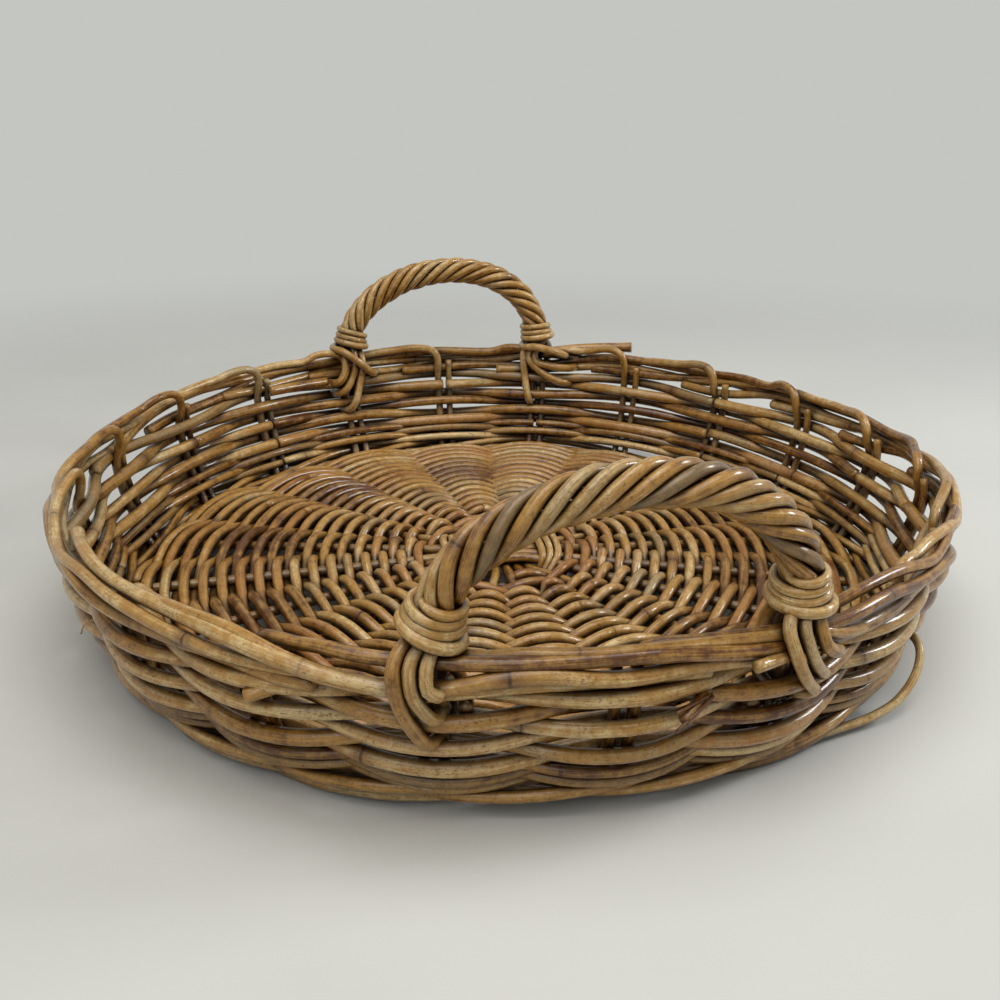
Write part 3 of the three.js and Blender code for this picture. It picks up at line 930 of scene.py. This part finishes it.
# Ends that have come loose or were cut long: the round that each belongs to, its thickness and tone,
# and its places as an angle in degrees, a radius and a height.
LOOSE_ENDS = (
    ("foot_wale", 0.0045, 0.66, (
        (48.5, 0.236, 0.033), (46.0, 0.2475, 0.032), (44.3, 0.2525, 0.029), (42.2, 0.2540, 0.020),
        (39.0, 0.2510, 0.0105), (35.5, 0.2445, 0.0062), (32.0, 0.2385, 0.0050), (28.5, 0.2345, 0.0046),
    )),
    ("wall_row_08", 0.0076, 0.36, (
        (161.0, 0.2440, 0.0858), (156.5, 0.2545, 0.0876), (151.0, 0.2600, 0.0896), (145.2, 0.2630, 0.0914),
    )),
    ("wall_row_08", 0.0056, 0.62, ((18.5, 0.2500, 0.0745), (15.5, 0.2580, 0.0765), (10.9, 0.2625, 0.0780))),
    ("wall_row_08", 0.0070, 0.34, (
        (203.0, 0.2440, 0.0715), (209.0, 0.2400, 0.0728), (215.6, 0.2385, 0.0738),
    )),
    ("wall_row_06", 0.0058, 0.28, ((8.2, 0.2470, 0.0635), (6.0, 0.2560, 0.0600), (4.6, 0.2592, 0.0570))),
    ("wall_row_06", 0.0016, 0.05, ((8.0, 0.2540, 0.0625), (5.6, 0.2600, 0.0600), (3.6, 0.2622, 0.0545))),
    ("wall_row_06", 0.0013, 0.15, ((8.0, 0.2530, 0.0632), (5.0, 0.2588, 0.0630), (3.7, 0.2606, 0.0622))),
    ("wall_row_06", 0.0058, 0.40, (
        (329.0, 0.2460, 0.0640), (326.6, 0.2565, 0.0620), (325.2, 0.2606, 0.0604),
    )),
    ("wall_row_05", 0.0008, 0.55, (
        (299.0, 0.2480, 0.0530), (297.6, 0.2545, 0.0515), (297.2, 0.2566, 0.0445),
    )),
)
LOOSE_SEED = 1000
LOOSE_STEP = 0.0025


def loose_canes(node):
    """The loose and cut ends of one round."""
    canes = []
    for number, (owner, thickness, tone, places) in enumerate(LOOSE_ENDS):
        if owner == node:
            corners = [round_place(math.radians(turn), radius, height) for turn, radius, height in places]
            points = smooth_points(corners, LOOSE_STEP, rounding=3)
            canes.append(Cane(points, thickness, LOOSE_SEED + number, tone))
    return canes


# The two wales at the foot: a node, the height of the wale's middle and its first seed.
WALES = (("foot_row", 0.0058, 700), ("foot_wale", 0.0122, 711))


class TRAY_OT_wall_rounds(Operator):
    """Weave the rounds of the wall in and out of the stakes, above the wale at the foot"""

    bl_idname = "tray.wall_rounds"
    bl_label = "Foot and wall rounds"

    rounds: whole("Rounds", "Rounds woven above the foot", 8)
    reach: length("Reach", "How far a cane swings in and out from the stakes", WALL_REACH)

    first_row = 2  # of the wall; the foot and the base lie in rows 0 and 1
    double_rows = 2  # the lowest rounds, which have two canes each
    above_base = 0.0078  # from the base to the lowest cane
    starts = (0, 9)  # half the stakes from the first to the start of a round
    half_runs = (3, 6)  # half the stakes that one cane passes
    shortest = 4  # stakes that a last cane passes, at least
    tones = (0.2, 0.75)
    tints = (-0.3, 0.5)
    thicknesses = (0.92, 1.06)
    low_wall = 0.03  # below this height canes are thinner and lie closer
    low_thickness = 0.76
    low_stray = (0.5, 0.0010)  # waves for each stake, and reach
    stray = (0.5, 0.0022)
    sag = (0.2, 0.0012)  # of all rounds together
    sag_seed = 77
    flatness = 0.1
    cut_gap = 0.0012  # from a cut end to the middle of the stake that hides it
    steps = 14  # from one stake to the next
    first_seed = 400
    row_seed = 40
    phase_seed = 20

    wale_rods = 3
    wale_cane = 0.0059
    wale_stakes = 18  # that one rod passes
    wale_steps = 12
    wale_shift = 7  # stakes from the start of the lower wale to that of the upper one
    wale_out = 0.0026
    wale_swing = 0.0074
    wale_point = 0.0012  # how much sharper a rod turns inside a stake
    wale_rise = 0.0027
    wale_stray = (0.6, 0.0006)
    wale_seed = 900  # for each metre of a wale's height
    wale_tones = (0.4, 0.65)

    def levels(self, sizes, row):
        """Height and phase of each cane of a round."""
        first_single = self.first_row + self.double_rows
        if row >= first_single:
            return [(round_height(sizes, row), row % 2)]
        low = base_height(sizes) + self.above_base
        high = round_height(sizes, first_single)
        first = 2 * (row - self.first_row)
        count = 2 * self.double_rows
        return [(low + (high - low) * step / count, step % 2) for step in (first, first + 1)]

    def round_canes(self, sizes, height, phase, seed):
        """One round, made of a few canes that are joined behind stakes."""
        dice = random.Random(seed)
        canes = []
        start = phase + 2 * dice.randint(*self.starts)
        finish = start + sizes.stake_pairs
        for first, last in cane_runs(dice, start, finish, self.half_runs, 0, self.shortest):
            points = self.round_points(sizes, height, phase, first, last, seed)
            tone = dice.uniform(*self.tones)
            tint = dice.uniform(*self.tints)
            thickness = sizes.wall_cane * dice.uniform(*self.thicknesses)
            if height < self.low_wall:
                thickness *= self.low_thickness
            canes.append(Cane(points, thickness, seed + len(canes), tone, tint))
        return canes

    def round_points(self, sizes, level, phase, first, last, seed):
        """A cane of one round, from one stake to another, in and out by turns."""
        points = []
        stray = self.low_stray if level < self.low_wall else self.stray
        cut = self.cut_gap / sizes.rim_radius
        for step in range(first * self.steps, last * self.steps + 1):
            stake = step / self.steps
            angle = stake_angle(sizes, stake)
            if stake == first:
                angle += cut
            elif stake == last:
                angle -= cut
            side = flattened(-math.cos(math.pi * (stake + phase)), self.flatness)
            height = level + wander(stake, seed, stray)
            height += wander(stake % sizes.stake_pairs, self.sag_seed, self.sag)
            height += 0.5 * stray[1] * side * math.sin(seed)
            points.append(off_wall(sizes, angle, height, side * self.reach))
        return points

    def wale_points(self, sizes, strand, level):
        """One of three canes that go outside two stakes and inside the third, and cross over each other."""
        points = []
        for step in range(self.wale_stakes * self.wale_steps + 1):
            passed = step / self.wale_steps
            stake = passed + strand
            lay = TURN * ((passed / self.wale_rods) % 1.0)
            swing = math.cos(lay)
            out = self.wale_out - self.wale_swing * swing - self.wale_point * swing * swing
            height = level - self.wale_rise * math.sin(lay)
            height += wander(stake, strand + level * self.wale_seed, self.wale_stray)
            points.append(on_wall(sizes, stake_angle(sizes, stake), height, out))
        return points

    def wale_canes(self, sizes, level, first_seed):
        canes = []
        for strand in range(self.wale_rods):
            seed = first_seed + strand
            points = self.wale_points(sizes, strand + self.wale_shift * (first_seed % 2), level)
            tone = random.Random(seed).uniform(*self.wale_tones)
            canes.append(Cane(points, self.wale_cane, seed, tone))
        return canes

    def execute(self, context):
        sizes = context.scene.tray_sizes
        look = cane_material(context, "cane_of_wall", pale_shift=0.0, red_share=-0.05)
        for row in range(self.first_row, self.first_row + self.rounds):
            node = f"wall_row_{row - 1:02d}"
            canes = []
            for height, phase in self.levels(sizes, row):
                seed = self.first_seed + self.row_seed * row + self.phase_seed * phase
                canes += self.round_canes(sizes, height, phase, seed)
            canes += loose_canes(node)
            lay_piece(context, node, canes, look)
        for node, level, seed in WALES:
            canes = self.wale_canes(sizes, level, seed) + loose_canes(node)
            lay_piece(context, node, canes, look)
        return {"FINISHED"}


# Handles


def foot_angle(sizes):
    return math.asin(0.5 * sizes.handle_span / sizes.rim_radius)


class HandleFrame:
    """The arch of a handle over the +X side, and the places beside its middle line.

    skew is how far the top of the arch has slumped along the rim.
    """

    steps = 400
    glance = 0.002  # how far ahead and back the direction of the middle line is read

    def __init__(self, sizes, skew):
        lean = sizes.handle_lean
        self.sizes = sizes
        self.skew = skew
        self.out = Vector((math.cos(lean), 0.0, -math.sin(lean)))
        self.up = Vector((math.sin(lean), 0.0, math.cos(lean)))
        self.foot = Vector((sizes.rim_radius * math.cos(foot_angle(sizes)), 0.0, sizes.springing))
        self.along = path_lengths([self.arch_point(step) for step in range(self.steps + 1)])
        self.length = float(self.along[-1])

    def arch_point(self, step):
        angle = math.pi * (1.0 - step / self.steps)
        rise = math.sin(angle)
        sideways = 0.5 * self.sizes.handle_span * math.cos(angle) + self.skew * rise * rise
        return self.foot + Vector((0.0, sideways, 0.0)) + self.up * (self.sizes.handle_rise * rise)

    def middle(self, part):
        """The middle line at a part of its length."""
        return self.arch_point(float(np.interp(part * self.length, self.along, np.arange(self.steps + 1))))

    def beside(self, part, radius, lay):
        """A place beside the middle line: lay is the angle round it, from outward."""
        ahead = self.middle(min(1.0, part + self.glance)) - self.middle(max(0.0, part - self.glance))
        left = ahead.normalized().cross(self.out)
        point = self.middle(part)
        return point + self.out * (radius * math.cos(lay)) - left * (radius * math.sin(lay))


# The two handles: a letter, the turn from the +X side, how far the top has slumped along the rim, and
# the pitch of the collars' windings as a share of their cane.
HANDLES = (("a", 0.0, 0.007, 0.84), ("b", math.pi, -0.007, 0.90))
HANDLE_SEEDS = {"a": 0, "b": 10}  # added to the seeds of a handle's canes

# The three rod ends on one side of a foot, by handle, foot and side, in the order in which they stand along
# the rim: how far each stands from the foot's middle, how deep it goes below the border's middle, how far
# it swings, and the share of that swing where its tip goes into the wall, if it isn't the usual LEG_TIP.
LEG_TIP = 1.15
LEG_ENDS = {
    ("a", -1, 1): ((-0.0105, 0.0310, 0.0105), (-0.0048, 0.0175, 0.0080), (0.0010, 0.0045, 0.0045)),
    ("a", 1, 1): (
        (-0.0128, 0.0280, 0.0230, 0.70), (-0.0056, 0.0195, 0.0180, 0.85), (0.0022, 0.0085, 0.0140, 0.90),
    ),
    ("a", -1, -1): ((-0.0065, 0.0330, 0.0080), (0.0000, 0.0240, 0.0080), (0.0065, 0.0160, 0.0060)),
    ("a", 1, -1): ((-0.0065, 0.0300, -0.0080), (0.0000, 0.0230, -0.0070), (0.0065, 0.0340, -0.0040)),
    ("b", -1, 1): ((-0.0075, 0.0290, 0.0100), (-0.0010, 0.0200, 0.0080), (0.0055, 0.0110, 0.0070)),
    ("b", 1, 1): ((-0.0060, 0.0250, 0.0080), (0.0000, 0.0200, 0.0070), (0.0070, 0.0100, 0.0050)),
    ("b", -1, -1): ((0.0000, 0.0030, -0.0260), (0.0050, 0.0150, -0.0280), (0.0105, 0.0310, -0.0060)),
    ("b", 1, -1): ((-0.0055, 0.0300, 0.0130), (0.0012, 0.0170, 0.0120), (0.0090, 0.0090, 0.0080)),
}

# The way of a rod end from the border down, in shares of its depth, of its distance outward and of its
# swing. At the tip the swing is counted from the end's own share.
LEG_AT_BORDER = ((0.0, 1.0, 0.0), (0.35, 0.97, 0.22))
LEG_AT_WALL = ((0.70, 1.0, 0.56), (0.96, 0.92, 0.92))
LEG_AT_TIP = ((1.04, 0.36, 0.0), (1.05, -0.16, 0.07))


class TRAY_OT_handle_rods(Operator):
    """Twist six rods into each handle and bring their ends over the border and down the wall"""

    bl_idname = "tray.handle_rods"
    bl_label = "Handle rods"

    rods: whole("Rods", "Rods twisted into one handle", 6)
    turns: measure("Turns", "Whole turns of the twist", 3.0)
    clear: length("Clear", "From the middle of the border to a rod that passes it outside", 0.0142)
    clear_inside: length(
        "Clear inside", "From the middle of the border to a rod that passes it inside", 0.0112
    )
    pinch: length("Pinch", "How far up from its foot the collar squeezes a handle", 0.018)

    row_turn = math.radians(60)  # from the middle rod of a row to the rods beside it
    over_turn = math.radians(40)  # how far above the border's middle an end begins to turn down
    over_swing = -0.10  # share of its swing there
    tip_depth = 0.0010  # how much deeper a tip goes
    squeeze = 0.17  # how much thinner a handle is under its collar
    lay_stray = (5.0, 0.10)  # round the handle: waves along it, and reach in radians
    ring_stray = (6.0, 0.0006)  # to and from its middle
    arch_steps = 130
    step = 0.0026
    sides = 12
    first_seed = 800
    grey_rod = ("a", 2)
    grey_tint = 0.75
    grey_tone = 0.34
    tints = (-0.05, 0.28)
    tones = (0.45, 0.68)

    def leg_places(self, sizes, letter, foot, lay):
        """Places of a rod's end from the foot down: over the border on its own side, and to the wall."""
        side = 1 if math.cos(lay) > 0.0 else -1
        place_in_row = 1 + round(foot * math.sin(lay) / math.sin(self.row_turn))
        stand, drop, swing, tip = (*LEG_ENDS[letter, foot, side][place_in_row], LEG_TIP)[:4]
        wall = WALL_REACH + 0.5 * (sizes.wall_cane + sizes.handle_cane)
        clear = self.clear if side > 0 else self.clear_inside
        reach = clear / math.cos(self.over_turn / 2)

        def beside(height, out, part):
            angle = foot * foot_angle(sizes) + (stand + part * swing) / sizes.rim_radius
            return on_wall(sizes, angle, height, out)

        def straight(height, out, part):
            return beside(height, out + sizes.rim_radius - wall_radius(sizes, height), part)

        middle = sizes.border_height
        low = max(wall, clear - (sizes.rim_radius - wall_radius(sizes, middle - drop)) * side)
        above = middle + reach * math.sin(self.over_turn)
        places = [straight(above, side * reach * math.cos(self.over_turn), self.over_swing)]
        for deep, out, part in LEG_AT_BORDER:
            places.append(straight(middle - deep * drop, side * reach * out, part))
        for deep, out, part in LEG_AT_WALL:
            places.append(beside(middle - deep * drop, side * low * out, part))
        for deep, out, part in LEG_AT_TIP:
            places.append(beside(middle - deep * drop - self.tip_depth, side * low * out, tip + part))
        return places

    def rope_place(self, sizes, arch, start, part, seed):
        """A place of one rod in the twisted handle, at a part of its length."""
        lay = start + foot_angle(sizes) + TURN * self.turns * part
        lay += wander(part, seed, self.lay_stray)
        from_foot = min(part, 1.0 - part) * arch.length
        squeeze = 1.0 - self.squeeze * math.exp(-((from_foot / self.pinch) ** 2))
        radius = sizes.handle_lay * squeeze + wander(part, seed + OTHER_ROW, self.ring_stray)
        return arch.beside(part, radius, lay)

    def execute(self, context):
        sizes = context.scene.tray_sizes
        look = cane_material(context, "cane_of_handles", pale_shift=-0.02, red_share=-0.15)
        for letter, turn, skew, _ in HANDLES:
            arch = HandleFrame(sizes, skew)
            spin = turned(turn)
            for rod in range(self.rods):
                start = TURN * rod / self.rods
                seed = self.first_seed + rod + HANDLE_SEEDS[letter]
                places = list(reversed(self.leg_places(sizes, letter, -1, start)))
                for step in range(self.arch_steps + 1):
                    places.append(self.rope_place(sizes, arch, start, step / self.arch_steps, seed))
                places += self.leg_places(sizes, letter, 1, start)
                points = [spin @ point for point in smooth_points(places, self.step, rounding=2)]
                dice = random.Random(seed)
                weathered = (letter, rod) == self.grey_rod
                tint = self.grey_tint if weathered else dice.uniform(*self.tints)
                tone = self.grey_tone if weathered else dice.uniform(*self.tones)
                cane = Cane(points, sizes.handle_cane, seed, tone, tint)
                node = f"handle_{letter}_rod_{rod + 1}"
                lay_piece(context, node, [cane], look, self.sides)
        return {"FINISHED"}


# The end of a collar that crosses under the foot of handle b before the winding starts, as places outward,
# across and up from the foot.
COLLAR_TAIL = (
    (0.0060, -0.0235, -0.0170), (-0.0070, -0.0205, -0.0165),
    (-0.0150, -0.0120, -0.0110), (-0.0165, 0.0030, -0.0035),
)


class TRAY_OT_handle_collars(Operator):
    """Wind a collar of cane round each foot of the handles, down to the border"""

    bl_idname = "tray.handle_collars"
    bl_label = "Handle collars"

    turns: measure("Turns", "Turns of the winding", 3.6)
    lift: length("Lift", "From the springing of the arch to the lowest turn", -0.0008)
    tucked: length("Tucked", "How far in an end of the winding is tucked", 0.0040)
    hug: length("Hug", "How much closer the highest turn lies than the lowest", 0.0009)

    squeezed = 0.83  # of the handle's lay, under the collar
    axis_reach = 0.016  # how far up the handle the axis of a collar is read
    start_turn = math.radians(140)
    flare = 0.0020  # how much wider the winding begins
    flare_ease = 0.5
    hug_turns = 2.4  # until the winding lies closest
    top_tuck = 0.2  # turns in which an end is tucked in
    bottom_tuck = 0.12
    dip = 0.0030  # of the lowest turn to one side
    ring_steps = 32
    step = 0.0024
    first_seed = 900
    tips = (1.26, 0.86)

    def ring_places(self, sizes, tail, pitch):
        """The winding from the bottom up, as places outward, across and up from the foot."""
        radius = self.squeezed * sizes.handle_lay + 0.5 * (sizes.handle_cane + sizes.collar_cane)
        places = []
        for step in range(int(self.turns * self.ring_steps) + 1):
            wound = step / self.ring_steps
            angle = self.start_turn - TURN * wound
            low = 1.0 - min(1.0, wound)
            wide = radius + self.flare * low ** self.flare_ease
            wide -= self.hug * min(1.0, wound / self.hug_turns)
            wide -= self.tucked * max(0.0, 1.0 - (self.turns - wound) / self.top_tuck)
            if not tail:
                wide -= self.tucked * max(0.0, 1.0 - wound / self.bottom_tuck)
            up = self.lift + wound * pitch - self.dip * low * math.sin(angle)
            places.append((wide * math.cos(angle), wide * math.sin(angle), up))
        return places

    def execute(self, context):
        sizes = context.scene.tray_sizes
        look = cane_material(context, "cane_of_collars", pale_shift=0.03, red_share=-0.15)
        for letter, turn, skew, closeness in HANDLES:
            arch = HandleFrame(sizes, skew)
            spin = turned(turn)
            tail = COLLAR_TAIL if letter == "b" else ()
            places = [*tail, *self.ring_places(sizes, tail, closeness * sizes.collar_cane)]
            for side, foot, end in (("left", -1, 0.0), ("right", 1, 1.0)):
                bottom = arch.middle(end)
                axis = (arch.middle(abs(end - self.axis_reach / arch.length)) - bottom).normalized()
                across = axis.cross(arch.out)
                wound = [bottom + arch.out * x + across * y + axis * z for x, y, z in places]
                points = [spin @ place for place in smooth_points(wound, self.step, rounding=2)]
                node = f"handle_{letter}_collar_{side}"
                seed = self.first_seed + (foot + 1) + HANDLE_SEEDS[letter]
                cane = Cane(points, sizes.collar_cane, seed, tone=0.55, tint=0.10, tips=self.tips)
                lay_piece(context, node, [cane], look)
        return {"FINISHED"}


# Studio

# Square soft lamps: a name, a place to the right, away and up as the camera sees it, a size, a power
# and a tint.
LAMPS = (
    ("sky_light", (0.05, -0.30, 1.6), 1.2, 17.0, (1.0, 0.98, 0.945)),
    ("window_light", (1.35, 0.10, 0.85), 0.36, 10.0, (0.97, 0.985, 1.0)),
    ("front_light", (-0.5, -1.3, 1.5), 1.6, 12.5, (1.0, 0.97, 0.925)),
)
LAMP_AIM = Vector((0.0, 0.0, 0.04))
AIR_TINT = (1.0, 0.98, 0.96, 1.0)
SENSOR_WIDTH = 36.0
CLIP_START = 0.01
FLOOR_SIDES = 96
FLOOR_SHADE = 0.95  # of the floor's colour, where it is darkest
FLOOR_PATCHES = (5.0, 3.0, 0.5)  # scale, detail and roughness
FLOOR_RANGE = (0.3, 0.7)
FLOOR_ROUGHNESS = 0.9


class TRAY_OT_studio(Operator):
    """Set the tray on a pale floor, light it softly and place the camera"""

    bl_idname = "tray.studio"
    bl_label = "Studio"

    side: tilt("Side", "How far round from the tray's -Y side the camera stands", math.radians(78.56))
    distance: length("Distance", "From the middle of the tray to the foot of the camera", 0.6049)
    height: length("Height", "Height of the camera", 0.2897)
    aside: length("Aside", "How far the tray stands to the right of the picture's middle", 0.0015)
    pitch: tilt("Pitch", "How far the camera looks down", 0.3745)
    roll: tilt("Roll", "Tilt of the picture", 0.0091)
    lens: measure("Lens", "Focal length in millimetres", 38.08)
    floor_radius: length("Floor radius", "How far the floor reaches", 12.0)
    fade_start: length("Fade start", "How far from the tray the floor begins to fade", 0.42)
    fade_end: length("Fade end", "How far from the tray the floor has faded out", 1.25)
    air: measure("Air", "Strength of the soft light from all round", 0.26)

    def looked_at(self, nodes):
        """One where the camera or a reflection looks, and nought where light only bounces."""
        path = nodes.add("ShaderNodeLightPath")
        seen = nodes.math("ADD", path.outputs["Is Camera Ray"], path.outputs["Is Glossy Ray"])
        seen = nodes.math("ADD", seen, path.outputs["Is Transmission Ray"])
        return nodes.math("MINIMUM", seen, 1.0)

    def add_floor(self, context):
        """A wide round floor that fades into the pale distance."""
        work = bmesh.new()
        bmesh.ops.create_circle(work, cap_ends=True, segments=FLOOR_SIDES, radius=self.floor_radius)
        mesh = bpy.data.meshes.new("floor")
        work.to_mesh(mesh)
        work.free()
        colours = context.scene.tray_colours
        material, nodes, shader = fresh_material("pale_floor")
        here = nodes.add("ShaderNodeTexCoord").outputs["Object"]
        patches = nodes.between(nodes.noise(here, *FLOOR_PATCHES), *FLOOR_RANGE)
        dim = four(part * FLOOR_SHADE for part in colours.floor)
        nodes.put(shader.inputs["Base Color"], nodes.mix(patches, dim, four(colours.floor)))
        nodes.put(shader.inputs["Roughness"], FLOOR_ROUGHNESS)
        away = nodes.add("ShaderNodeVectorMath", operation="LENGTH")
        nodes.put(away.inputs[0], here)
        fade = nodes.between(away.outputs["Value"], self.fade_start, self.fade_end)
        far = nodes.add("ShaderNodeEmission")
        nodes.put(far.inputs["Color"], four(colours.distance))
        share = nodes.math("MULTIPLY", fade, self.looked_at(nodes))
        nodes.show_both(share, shader, far, "OUTPUT_MATERIAL")
        mesh.materials.append(material)
        floor = bpy.data.objects.new("floor", mesh)
        context.scene.collection.objects.link(floor)

    def add_air(self, context):
        """Soft light from all round, in front of the pale distance."""
        world = bpy.data.worlds.new("studio_air")
        world.use_nodes = True
        nodes = Nodes(world)
        air = nodes.find("BACKGROUND")
        nodes.put(air.inputs["Color"], AIR_TINT)
        nodes.put(air.inputs["Strength"], self.air)
        far = nodes.add("ShaderNodeBackground")
        nodes.put(far.inputs["Color"], four(context.scene.tray_colours.distance))
        nodes.show_both(self.looked_at(nodes), air, far, "OUTPUT_WORLD")
        context.scene.world = world

    def add_light(self, context, name, place, size, power, tint):
        """A square soft light that looks at the tray."""
        lamp = bpy.data.lights.new(name, "AREA")
        lamp.shape = "SQUARE"
        lamp.size = size
        lamp.energy = power
        lamp.color = tint
        lamp_object = bpy.data.objects.new(name, lamp)
        where = turned(self.side) @ Vector(place)
        lamp_object.location = where
        lamp_object.rotation_euler = (LAMP_AIM - where).to_track_quat("-Z", "Y").to_euler()
        context.scene.collection.objects.link(lamp_object)

    def add_camera(self, context):
        right = turned(self.side) @ Vector((1.0, 0.0, 0.0))
        away = UP.cross(right)
        ahead = away * math.cos(self.pitch) - UP * math.sin(self.pitch)
        above = right.cross(ahead)
        rolled_right = right * math.cos(self.roll) + above * math.sin(self.roll)
        rolled_up = above * math.cos(self.roll) - right * math.sin(self.roll)
        place = right * -self.aside - away * self.distance + UP * self.height
        camera = bpy.data.cameras.new("camera")
        camera.sensor_width = SENSOR_WIDTH
        camera.lens = self.lens
        camera.clip_start = CLIP_START
        camera_object = bpy.data.objects.new("camera", camera)
        columns = Matrix((rolled_right, rolled_up, -ahead)).transposed().to_4x4()
        camera_object.matrix_world = Matrix.Translation(place) @ columns
        context.scene.collection.objects.link(camera_object)
        context.scene.camera = camera_object

    def execute(self, context):
        self.add_floor(context)
        for lamp in LAMPS:
            self.add_light(context, *lamp)
        self.add_air(context)
        context.scene.view_settings.view_transform = "Standard"
        self.add_camera(context)
        return {"FINISHED"}


class TRAY_PT_panel(Panel):
    """The steps of making the tray, in order"""

    bl_label = "Wicker tray basket"
    bl_idname = "TRAY_PT_panel"
    bl_space_type = "VIEW_3D"
    bl_region_type = "UI"
    bl_category = "Tray"

    def draw(self, context):
        for step in STEPS:
            self.layout.operator(step.bl_idname)


STEPS = (
    TRAY_OT_base_sticks,
    TRAY_OT_base_tie,
    TRAY_OT_base_weavers,
    TRAY_OT_side_stakes,
    TRAY_OT_wall_rounds,
    TRAY_OT_handle_rods,
    TRAY_OT_handle_collars,
    TRAY_OT_studio,
)
CLASSES = (TraySizes, TrayColours) + STEPS + (TRAY_PT_panel,)


def register():
    for kind in CLASSES:
        bpy.utils.register_class(kind)
    bpy.types.Scene.tray_sizes = PointerProperty(type=TraySizes)
    bpy.types.Scene.tray_colours = PointerProperty(type=TrayColours)


def unregister():
    del bpy.types.Scene.tray_colours
    del bpy.types.Scene.tray_sizes
    for kind in reversed(CLASSES):
        bpy.utils.unregister_class(kind)


def main():
    register()
    bpy.ops.tray.base_sticks()
    bpy.ops.tray.base_tie()
    bpy.ops.tray.base_weavers()
    bpy.ops.tray.side_stakes()
    bpy.ops.tray.wall_rounds()
    bpy.ops.tray.handle_rods()
    bpy.ops.tray.handle_collars()
    bpy.ops.tray.studio()


if __name__ == "__main__":
    main()
